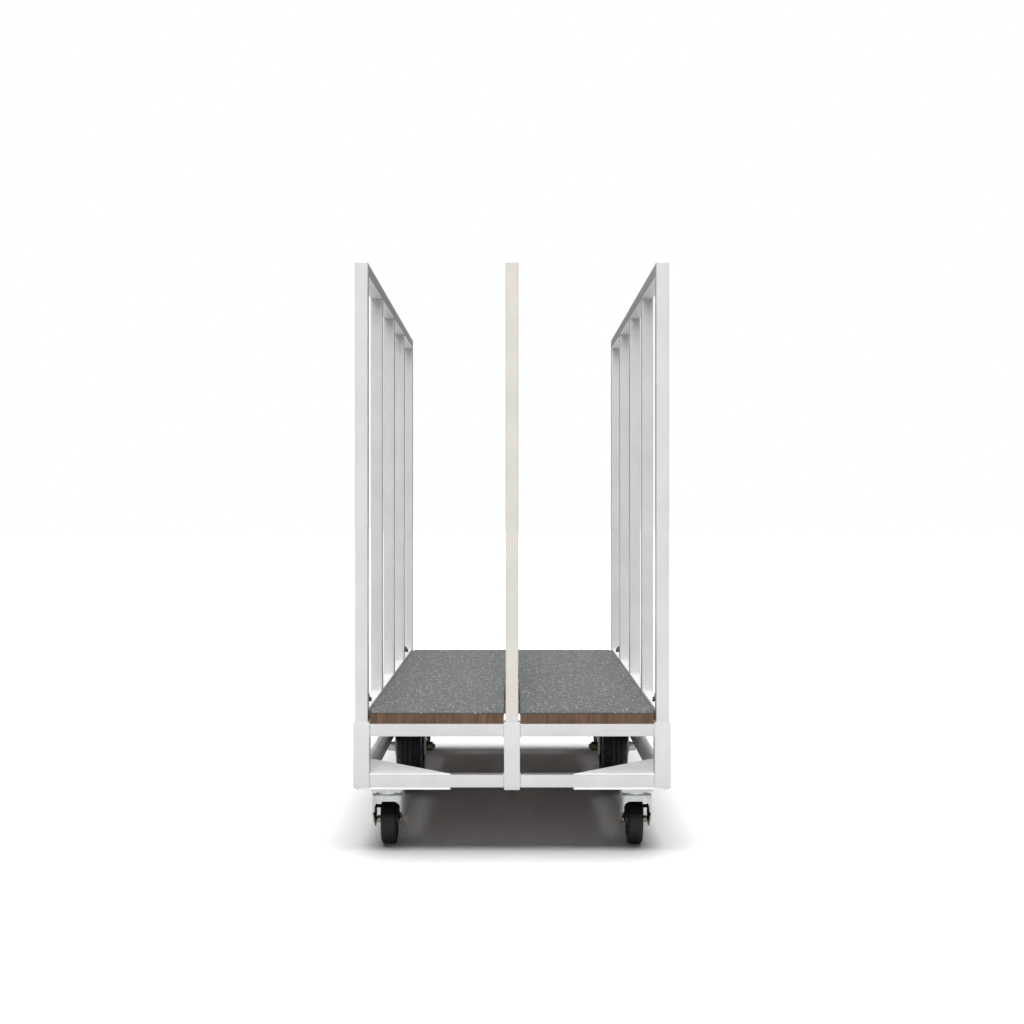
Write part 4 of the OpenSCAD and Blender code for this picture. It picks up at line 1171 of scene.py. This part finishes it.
def tyre_profile(side, tread, half, shoulder, radius, steps):
    """Heights and radii of half a tyre, from its bead over a round shoulder to its middle. side has
    heights and radii and tread has heights and depths, all in mm."""
    sines, cosines = quarter(steps)
    heights = np.concatenate([np.array(side[0]) * MM, half - shoulder * (1 - cosines),
                              np.array(tread[0]) * MM])
    radii = np.concatenate([np.array(side[1]) * MM, radius - shoulder * (1 - sines),
                            radius - np.array(tread[1]) * MM])
    return heights, radii


class TROLLEY_OT_caster_wheels(TrolleyOperator, bpy.types.Operator):
    """Rubber tyres on ribbed nylon centres, with the axle bolts"""
    bl_idname = "trolley.caster_wheels"
    bl_label = "Caster wheels"

    RIBS = 8
    # Half profile of the rim in mm: radii and distances from the middle
    RIM_RADII = (6.1, 7, 14.6, 16, 17.5, 21, 27, 33, 37, 38.4, 39.4, 44.6, 45.5)
    RIM_DEPTHS = (21.2, 22, 22, 20.8, 8, 7, 7, 7, 8, 15, 16, 16, 15)
    WEB = (16.5 * MM, 38.2 * MM)
    RIB_TOP, RIB_HALF, RIB_SLOPE = 13 * MM, 3.1 * MM, 1.4 * MM
    TYRE_HALF, SHOULDER = 19 * MM, 8 * MM
    # Side of the tyre beside the rim, and its tread from the shoulder to the mould line, in mm
    SIDE = ((18.4, 19, 19), (45.5, 46.3, 50))
    TREAD = ((9, 5, 1.2, 0.35), (0, 0, 0, 0.35))
    AXLE_R, FLATS, HEAD, NUT = 6 * MM, 19.2 * MM, 7 * MM, 5.8 * MM
    # End of the shaft past the leg, and radius and ends of the thread
    SHAFT_END, THREAD_R, THREAD = 5 * MM, 5.8 * MM, (4 * MM, 7 * MM)
    SLEEVE_R, SLEEVE_BORE, SLEEVE_ENDS = 9 * MM, 6.1 * MM, np.array([22.3, 32.5]) * MM

    def build(self, sizes):
        for name, (x, y) in CASTERS.items():
            centre = (x * CASTER_X, y * (CASTER_Y - CASTER_TRAIL), CASTER_R)
            wheel = name + "_wheel"
            rim, tyre, axle = Skin(), Skin(), Skin()
            self.rim(rim, centre)
            rim.piece(f"nylon_{name}_rim", wheel, "caster_nylon", finish("nylon"), [name + "_rim"],
                      sharp=40)
            self.tyre(tyre, centre)
            tyre.piece(f"rubber_{name}_tyre", wheel, "tyre_rubber", finish("rubber"), [name + "_tyre"])
            self.axle(axle, centre, sizes)
            axle.piece(f"plated_{name}_axle", name + "_swivel", "fastener_steel", finish("pale_zinc"),
                       [name + "_axle"])

    def rim(self, skin, centre):
        """Closed profile from the bore out over the hub, web and rim. Between hub and rim the face rises
        in ribs: a rib's height fades with the distance from its middle line, radius times sine."""
        steps = 192
        radii = np.array(self.RIM_RADII) * MM
        floor = np.array(self.RIM_DEPTHS)[:, None] * MM
        from_line = np.abs(radii[:, None] * np.sin(folded(steps, self.RIBS)))
        rib = smooth((self.RIB_HALF - from_line) / self.RIB_SLOPE)
        inside = ((radii > self.WEB[0]) & (radii < self.WEB[1]))[:, None]
        raised = np.where(inside, floor + rib * np.maximum(self.RIB_TOP - floor, 0), floor)
        spin(skin, centre, X_AXIS, *mirrored(raised, radii), steps, closed=True)

    def tyre(self, skin, centre):
        """Closed profile: flat sides with a step beside the rim, a round shoulder, and a slightly crowned
        tread with a mould line."""
        half = tyre_profile(self.SIDE, self.TREAD, self.TYRE_HALF, self.SHOULDER, CASTER_R, 7)
        spin(skin, centre, X_AXIS, *mirrored(*half), 112, closed=True)

    def axle(self, skin, centre, sizes):
        """Bolt through both legs: head on one side, nut and thread on the other, and a sleeve between
        each leg and the hub."""
        shaft(skin, centre, X_AXIS, self.AXLE_R, -LEG_OUT, LEG_OUT + self.SHAFT_END)
        for side in BOTH:
            washer(skin, centre, X_AXIS, self.SLEEVE_R, self.SLEEVE_BORE, *sorted(side * self.SLEEVE_ENDS))
        for ends in ((-LEG_OUT - self.HEAD, -LEG_OUT), (LEG_OUT, LEG_OUT + self.NUT)):
            hexagon(skin, centre, X_AXIS, self.FLATS, *ends, start=TURN / 12)
        thread(skin, centre, X_AXIS, self.THREAD_R, *(LEG_OUT + v for v in self.THREAD),
               sizes.thread_pitch)


class TROLLEY_OT_brakes(TrolleyOperator, bpy.types.Operator):
    """Ribbed brake pedals of the front casters with their cheeks, sleeves and pins"""
    bl_idname = "trolley.brakes"
    bl_label = "Brakes"

    HALF_WIDTH = 15.5 * MM
    RIDGES = 4
    EDGE = 1.0 * MM
    # Side outline of a cheek in mm from the pivot, and the cheek's two faces in mm from the middle
    CHEEK = ((-13, 4), (-13, -16), (-4, -37), (8, -37), (15, -18), (12, 4))
    CHEEK_CORNERS = (3, 8, 6, 6, 8, 3)
    CHEEK_FACES, CHEEK_EDGE = (28.4, 31.4), 0.6 * MM
    SLEEVE_R, SLEEVE_HALF = 4.4 * MM, 30 * MM
    PIN_R = 3 * MM
    # Rivet head of the pin in mm: heights over the leg, and radii
    HEAD_HEIGHTS, HEAD_RADII = (0, 0.5, 1.15, 1.5), (5, 5, 4.2, 2.4)
    # The pad's touching corner: how far it lies under the pivot and off the tyre
    PAD_DROP, PAD_GAP = 13 * MM, 3.6 * MM
    # Tread ends in mm from the pivot, and the shares of its length where the first and last ridge stand
    TREAD = ((-9, 6.6), (-32, -0.4))
    RIDGE_SPAN = (0.24, 0.86)
    RIDGE_HALF, RIDGE_FOOT = 0.7 * MM, 1.5 * MM
    # The rest of the outline in mm: from the pivot, and from the pad's touching corner
    HUB = (7.5, 7.5)
    NOSE = ((-34, -15), (-29, -16), (-25, -6), (-8.5, -5))
    PAD = ((-8, -3), (-4, -3), (0, 0))
    HUB_FOOT = (7.5, -1)
    # Corner radii in mm before, on and after the ridges
    RADII_BEFORE, RIDGE_RADIUS = (6.5, 3.0), 0.25
    RADII_AFTER = (2.0, 1.5, 1.5, 2.5, 1.5, 1.0, 1.0, 0.8, 3.0)

    def build(self, sizes):
        for name in ("front_left", "front_right"):
            x, y = CASTERS[name]
            centre = (x * CASTER_X, y * CASTER_Y, 0)
            pedal, pin = Skin(), Skin()
            pedal.place(centre, -y)
            corners, radii = self.side(sizes)
            slab(pedal, corners, radii, -self.HALF_WIDTH, self.HALF_WIDTH, self.EDGE, X_AXIS, steps=4)
            cheek = PIVOT + np.array(self.CHEEK) * MM
            for side in BOTH:
                faces = sorted(side * face * MM for face in self.CHEEK_FACES)
                slab(pedal, cheek, np.array(self.CHEEK_CORNERS) * MM, *faces, self.CHEEK_EDGE, X_AXIS)
            at = (0, *PIVOT)
            shaft(pedal, at, X_AXIS, self.SLEEVE_R, -self.SLEEVE_HALF, self.SLEEVE_HALF)
            pedal.piece(f"ribbed_{name}_pedal", name + "_pedal", "brake_plastic", finish("pedal"),
                        [name + "_brake_pedal"], sharp=45)
            pin.place(centre, -y)
            shaft(pin, at, X_AXIS, self.PIN_R, -LEG_OUT - LAP, LEG_OUT + LAP)
            for side in BOTH:
                heights = side * (LEG_OUT + np.array(self.HEAD_HEIGHTS) * MM)
                spin(pin, at, X_AXIS, heights, np.array(self.HEAD_RADII) * MM, 32)
            pin.piece(f"zinc_{name}_brake_pin", name + "_swivel", "zinc_steel", finish("zinc"),
                      [name + "_brake_pin"])

    def side(self, sizes):
        """Side outline of the pedal, anticlockwise in Y and Z: tread, nose, pad and hub. The tread carries
        ridges, low teeth spaced evenly along its slope."""
        pivot = np.array(PIVOT)
        pad_z = pivot[1] - self.PAD_DROP
        pad_y = CASTER_TRAIL - self.PAD_GAP - math.sqrt(CASTER_R ** 2 - (pad_z - CASTER_R) ** 2)
        top, nose = pivot + np.array(self.TREAD) * MM
        reach = np.linalg.norm(nose - top)
        slope = (nose - top) / reach
        normal = np.array([slope[1], -slope[0]])
        height = sizes.grip_height
        steps = ((-self.RIDGE_FOOT, 0), (-self.RIDGE_HALF, height), (self.RIDGE_HALF, height),
                 (self.RIDGE_FOOT, 0))
        ridges = [top + slope * (start + shift) + normal * rise
                  for start in np.linspace(*self.RIDGE_SPAN, self.RIDGES) * reach
                  for shift, rise in steps]
        corners = [pivot + np.array(self.HUB) * MM, top, *ridges, nose,
                   *(pivot + np.array(self.NOSE) * MM),
                   *(np.array([pad_y, pad_z]) + np.array(self.PAD) * MM),
                   pivot + np.array(self.HUB_FOOT) * MM]
        radii = [*self.RADII_BEFORE, *[self.RIDGE_RADIUS] * len(ridges), *self.RADII_AFTER]
        return corners, np.array(radii) * MM


class TROLLEY_OT_middle_forks(TrolleyOperator, bpy.types.Operator):
    """Welded forks of the middle wheels: a plate and two tapering legs"""
    bl_idname = "trolley.middle_forks"
    bl_label = "Middle forks"

    PLATE = np.array([112, 140]) * MM
    PLATE_CORNER = 5 * MM
    LEG_TOP = 120 * MM
    LEG_RADII = np.array([0.6 * MM, MIDDLE_BOSS, 0.6 * MM])
    # Size of the legs' welds against the other welds
    WELD_SIZE = 1.2

    def build(self, sizes):
        skin, welds = Skin(), Skin()
        under = MIDDLE_TOP - MIDDLE_SHEET
        half = self.LEG_TOP / 2
        drop = under - MIDDLE_R
        slant = math.atan2(half, drop) - math.asin(MIDDLE_BOSS / math.hypot(half, drop))
        apex = under - half / math.tan(slant)
        leg = [(-half, under), (0, apex), (half, under)]
        section = fillet(self.WELD_SIZE * sizes.weld_leg)
        run = half - 2 * WELD_MARGIN
        for side in BOTH:
            x = side * MIDDLE_X
            middle = np.array([x, 0])
            corners = rectangle(middle - self.PLATE / 2, middle + self.PLATE / 2)
            slab(skin, corners, self.PLATE_CORNER, under, MIDDLE_TOP, sizes.plate_edge)
            for face in (x - MIDDLE_LEG_OUT, x + MIDDLE_LEG_OUT - MIDDLE_SHEET):
                slab(skin, leg, self.LEG_RADII, face, face + MIDDLE_SHEET, sizes.plate_edge, X_AXIS,
                     steps=22)
                for at, out in ((face, -1), (face + MIDDLE_SHEET, 1)):
                    weld(welds, section, (at, -run, under), (at, run, under), (out, 0, 0), (0, 0, -1),
                         sizes.weld_pitch)
        skin.coated("middle_forks")
        welds.beads("middle_fork")


class TROLLEY_OT_middle_wheels(TrolleyOperator, bpy.types.Operator):
    """Large middle wheels: block-tread tyres on pressed steel rims"""
    bl_idname = "trolley.middle_wheels"
    bl_label = "Middle wheels"

    # Angles within one block of the tyre's shoulder, as shares of its pitch, and which lie in the cut
    BLOCK = (0, 0.22, 0.435, 0.445, 0.555, 0.565, 0.78)
    CUT = (0, 0, 0, 1, 1, 0, 0)
    TYRE_HALF, SHOULDER = 37.5 * MM, 20 * MM
    # Half profile of the tyre in mm: bead and side, then tread from its shoulder to the middle groove
    SIDE = ((29, 29, 30, 36.4, 37.2, 36.6, 37.5, 37.5, 36.9, 37.5),
            (62, 68.3, 68.3, 68.6, 71, 76, 78, 86, 88, 90))
    TREAD = ((17.2, 16.8, 13.2, 12.8, 12, 6.5, 2.6, 2.2, 1.8, 0), (0.3, 5, 5, 0.3, 0, 0, 0, 0.3, 5, 5))
    # Where the cross cuts start and end, and over which widths they fade
    LANE, LANE_FADE = (16.9 * MM, 35.8 * MM), (1.2 * MM, 4 * MM)
    # Profile of the rim in mm: radii and distances of its face from the middle
    RIM_RADII = (8.1, 9, 25, 26, 27.2, 29, 33, 37, 41, 45, 49, 52, 54.5, 56, 56, 57, 67, 68, 68, 67,
                 62.6, 62, 62)
    RIM_FACES = (39.2, 40, 40, 39, 5, 3.2, 2.5, 2.5, 2.5, 2.5, 2.5, 2.8, 4.5, 8, 31, 32, 32, 31.2,
                 29.8, 29, 29, 28.4, 1)
    WEB = (28 * MM, 53 * MM)
    DIMPLES, DIMPLE_PLACE, DIMPLE_R, DIMPLE_FADE, DIMPLE_DEPTH = 5, 41 * MM, 10.5 * MM, 4 * MM, 5 * MM

    def build(self, sizes):
        for side, name in ((-1, "left_middle"), (1, "right_middle")):
            centre = (side * MIDDLE_X, 0.0, MIDDLE_R)
            tyre, rim = Skin(), Skin()
            self.tyre(tyre, centre, sizes)
            self.rim(rim, centre)
            tyre.piece(f"rubber_{name}_tyre", name + "_wheel", "tyre_rubber", finish("rubber"),
                       [name + "_tyre"], sharp=40)
            rim.piece(f"enamel_{name}_rim", name + "_wheel", "rim_steel", finish("rim"),
                      [name + "_rim"], sharp=40)

    def tyre(self, skin, centre, sizes):
        """Closed profile with three round grooves. Beside them the shoulder blocks are parted by narrow
        cross cuts: each block has its own angles, and at the two in the cut the radius drops by the sipe
        depth."""
        angles = (np.arange(sizes.sipe_count)[:, None] + self.BLOCK).ravel() * TURN / sizes.sipe_count
        half = tyre_profile(self.SIDE, self.TREAD, self.TYRE_HALF, self.SHOULDER, MIDDLE_R, 10)
        heights, radii = mirrored(*half, shared=True)
        place = np.abs(heights)
        lane = (smooth((place - self.LANE[0]) / self.LANE_FADE[0])
                * smooth((self.LANE[1] - place) / self.LANE_FADE[1])
                * (radii > MIDDLE_R - self.SHOULDER))
        radii = radii[:, None] - sizes.tread_sipe * lane[:, None] * np.tile(self.CUT, sizes.sipe_count)
        spin(skin, centre, X_AXIS, heights, radii, closed=True, angles=angles)

    def rim(self, skin, centre):
        """Closed profile: hub, thin pressed web with round dimples, and a channel with two flanges. A
        dimple sinks the web by a soft step of the distance from its middle."""
        steps = 160
        radii, face = (np.array(v) * MM for v in (self.RIM_RADII, self.RIM_FACES))
        local = folded(steps, self.DIMPLES)
        away = np.hypot(radii[:, None] * np.cos(local) - self.DIMPLE_PLACE, radii[:, None] * np.sin(local))
        web = ((radii > self.WEB[0]) & (radii < self.WEB[1]))[:, None]
        dish = np.where(web, self.DIMPLE_DEPTH * smooth((self.DIMPLE_R - away) / self.DIMPLE_FADE), 0)
        heights = np.concatenate([face[:, None] + dish, (dish - face[:, None])[::-1]])
        spin(skin, centre, X_AXIS, heights, np.concatenate([radii, radii[::-1]]), steps, closed=True)


class TROLLEY_OT_fasteners(TrolleyOperator, bpy.types.Operator):
    """Bolts and nuts of the frames, casters and middle forks, and the middle axles"""
    bl_idname = "trolley.fasteners"
    bl_label = "Fasteners"

    # Shaft radius, width over the flats and height of the nut
    M8, M10 = (4 * MM, 13 * MM, 6.5 * MM), (5 * MM, 17 * MM, 8.4 * MM)
    WASHER = 2 * MM
    WASHER_BORE = 5.2 * MM
    THREAD = 6 * MM
    PLATE_HOLES = (30 * MM, 40 * MM)
    AXLE_R, AXLE_FLATS, AXLE_PITCH = 8 * MM, 24 * MM, 2 * MM
    SPACER_R, SPACER_BORE = 15 * MM, 8.2 * MM
    # Spacer, nut and thread ends of a middle axle past its legs, in mm, on the outer and inner side
    OUTER_ENDS, INNER_ENDS = (0, 8.5, 24, 27), (0, 2, 20, 26.5)

    def build(self, sizes):
        seat, washer_top = BOTTOM_HIGH[2], BOTTOM_HIGH[2] + self.WASHER
        # Each spot: x, y, and the heights under the head and under the nut
        frame_spots = [(x, y, UPPER_LOW[2], washer_top) for x in FRAME_XS for y in (-BOLT_Y, BOLT_Y)]
        across, along = self.PLATE_HOLES
        caster_spots = [(x * CASTER_X + u * across, y * CASTER_Y + v * along, PLATE_LOW[2],
                         LOWER_LOW[2] + (self.WASHER if v == y else 0))
                        for x, y in CASTERS.values() for u in BOTH for v in BOTH]
        fork_spots = [(side * MIDDLE_X + u * MIDDLE_BOLT_X, v * WHEEL_JOIST_Y,
                       MIDDLE_TOP - MIDDLE_SHEET, MIDDLE_TOP + self.WASHER)
                      for side in BOTH for u in BOTH for v in BOTH]
        for title, slot, key, nodes, size, spots, seed in (
            ("plated_frame_bolts", "fastener_steel", "dull_zinc", ["frame_bolts", "frame_nuts"],
             self.M10, frame_spots, 5),
            ("zinc_caster_bolts", "zinc_steel", "zinc", ["caster_plate_bolts"], self.M8, caster_spots, 6),
            ("plated_fork_bolts", "fastener_steel", "dull_zinc", ["middle_fork_bolts"], self.M10,
             fork_spots, 7),
        ):
            skin = Skin()
            ends = [v[2] for v in node_box(nodes[0])]
            for spot, start in zip(spots, np.random.default_rng(seed).random(len(spots))):
                if spots is frame_spots:
                    washer(skin, (*spot[:2], 0), Z_AXIS, FRAME_WASHER_R, self.WASHER_BORE, seat, washer_top)
                self.bolt(skin, spot, ends, size, start, sizes)
            skin.piece(title, "base", slot, finish(key), nodes)
        inner, outer = self.axles()
        inner.piece("plated_middle_axles", "base", "fastener_steel", finish("dull_zinc"),
                    ["middle_axles", "middle_axle_nuts"])
        outer.piece("zinc_axle_ends", "base", "zinc_steel", finish("zinc"))

    def bolt(self, skin, spot, ends, size, start, sizes):
        """One upright bolt: head, shaft, nut and threaded tail, the hexagons turned by a random start."""
        (x, y, under, seat), (head, tail), (radius, flats, nut) = spot, ends, size
        place = (x, y, 0)
        hexagon(skin, place, Z_AXIS, flats, head, under, start)
        shaft(skin, place, Z_AXIS, radius, under - LAP, tail - self.THREAD + 2 * LAP)
        thread(skin, place, Z_AXIS, radius, tail - self.THREAD, tail, sizes.thread_pitch)
        hexagon(skin, place, Z_AXIS, flats, seat, seat + nut, 2 * start)

    def axles(self):
        """Both axles: plain shaft and an inner washer with a deep nut, and apart from them the brighter
        outer spacer with its nut."""
        dull, bright = Skin(), Skin()
        for side in BOTH:
            place = (side * MIDDLE_X, 0.0, MIDDLE_R)
            outer, inner = (way * (MIDDLE_LEG_OUT + np.array(ends) * MM)
                            for way, ends in ((side, self.OUTER_ENDS), (-side, self.INNER_ENDS)))
            shaft(dull, place, X_AXIS, self.AXLE_R, *sorted((inner[2], outer[2])))
            for skin, way, ends in ((bright, side, outer), (dull, -side, inner)):
                washer(skin, place, X_AXIS, self.SPACER_R, self.SPACER_BORE, *sorted(ends[:2]))
                hexagon(skin, place, X_AXIS, self.AXLE_FLATS, *sorted(ends[1:3]))
                thread(skin, place, X_AXIS, self.AXLE_R, ends[2] - way * MM, ends[3], self.AXLE_PITCH)
        return dull, bright


BUILDERS = (
    TROLLEY_OT_stage, TROLLEY_OT_base, TROLLEY_OT_plates, TROLLEY_OT_side_frames, TROLLEY_OT_divider,
    TROLLEY_OT_boards, TROLLEY_OT_carpets, TROLLEY_OT_caster_heads, TROLLEY_OT_caster_forks,
    TROLLEY_OT_caster_wheels, TROLLEY_OT_brakes, TROLLEY_OT_middle_forks, TROLLEY_OT_middle_wheels,
    TROLLEY_OT_fasteners,
)


class TROLLEY_PT_panel(bpy.types.Panel):
    """Sidebar panel with the settings and the builders of the trolley"""
    bl_idname = "TROLLEY_PT_panel"
    bl_label = "Panel trolley"
    bl_space_type = "VIEW_3D"
    bl_region_type = "UI"
    bl_category = "Trolley"

    def draw(self, context):
        for settings in (context.scene.trolley_sizes, context.scene.trolley_colours):
            box = self.layout.box()
            for name in settings.__annotations__:
                box.prop(settings, name)
        for builder in BUILDERS:
            self.layout.operator(builder.bl_idname)


CLASSES = (TrolleySizes, TrolleyColours, *BUILDERS, TROLLEY_PT_panel)


def register():
    for kind in CLASSES:
        bpy.utils.register_class(kind)
    bpy.types.Scene.trolley_sizes = PointerProperty(type=TrolleySizes)
    bpy.types.Scene.trolley_colours = PointerProperty(type=TrolleyColours)


def unregister():
    del bpy.types.Scene.trolley_colours
    del bpy.types.Scene.trolley_sizes
    for kind in reversed(CLASSES):
        bpy.utils.unregister_class(kind)


def main():
    """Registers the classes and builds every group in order."""
    register()
    for builder in BUILDERS:
        group, name = builder.bl_idname.split(".")
        getattr(getattr(bpy.ops, group), name)()


if __name__ == "__main__":
    main()
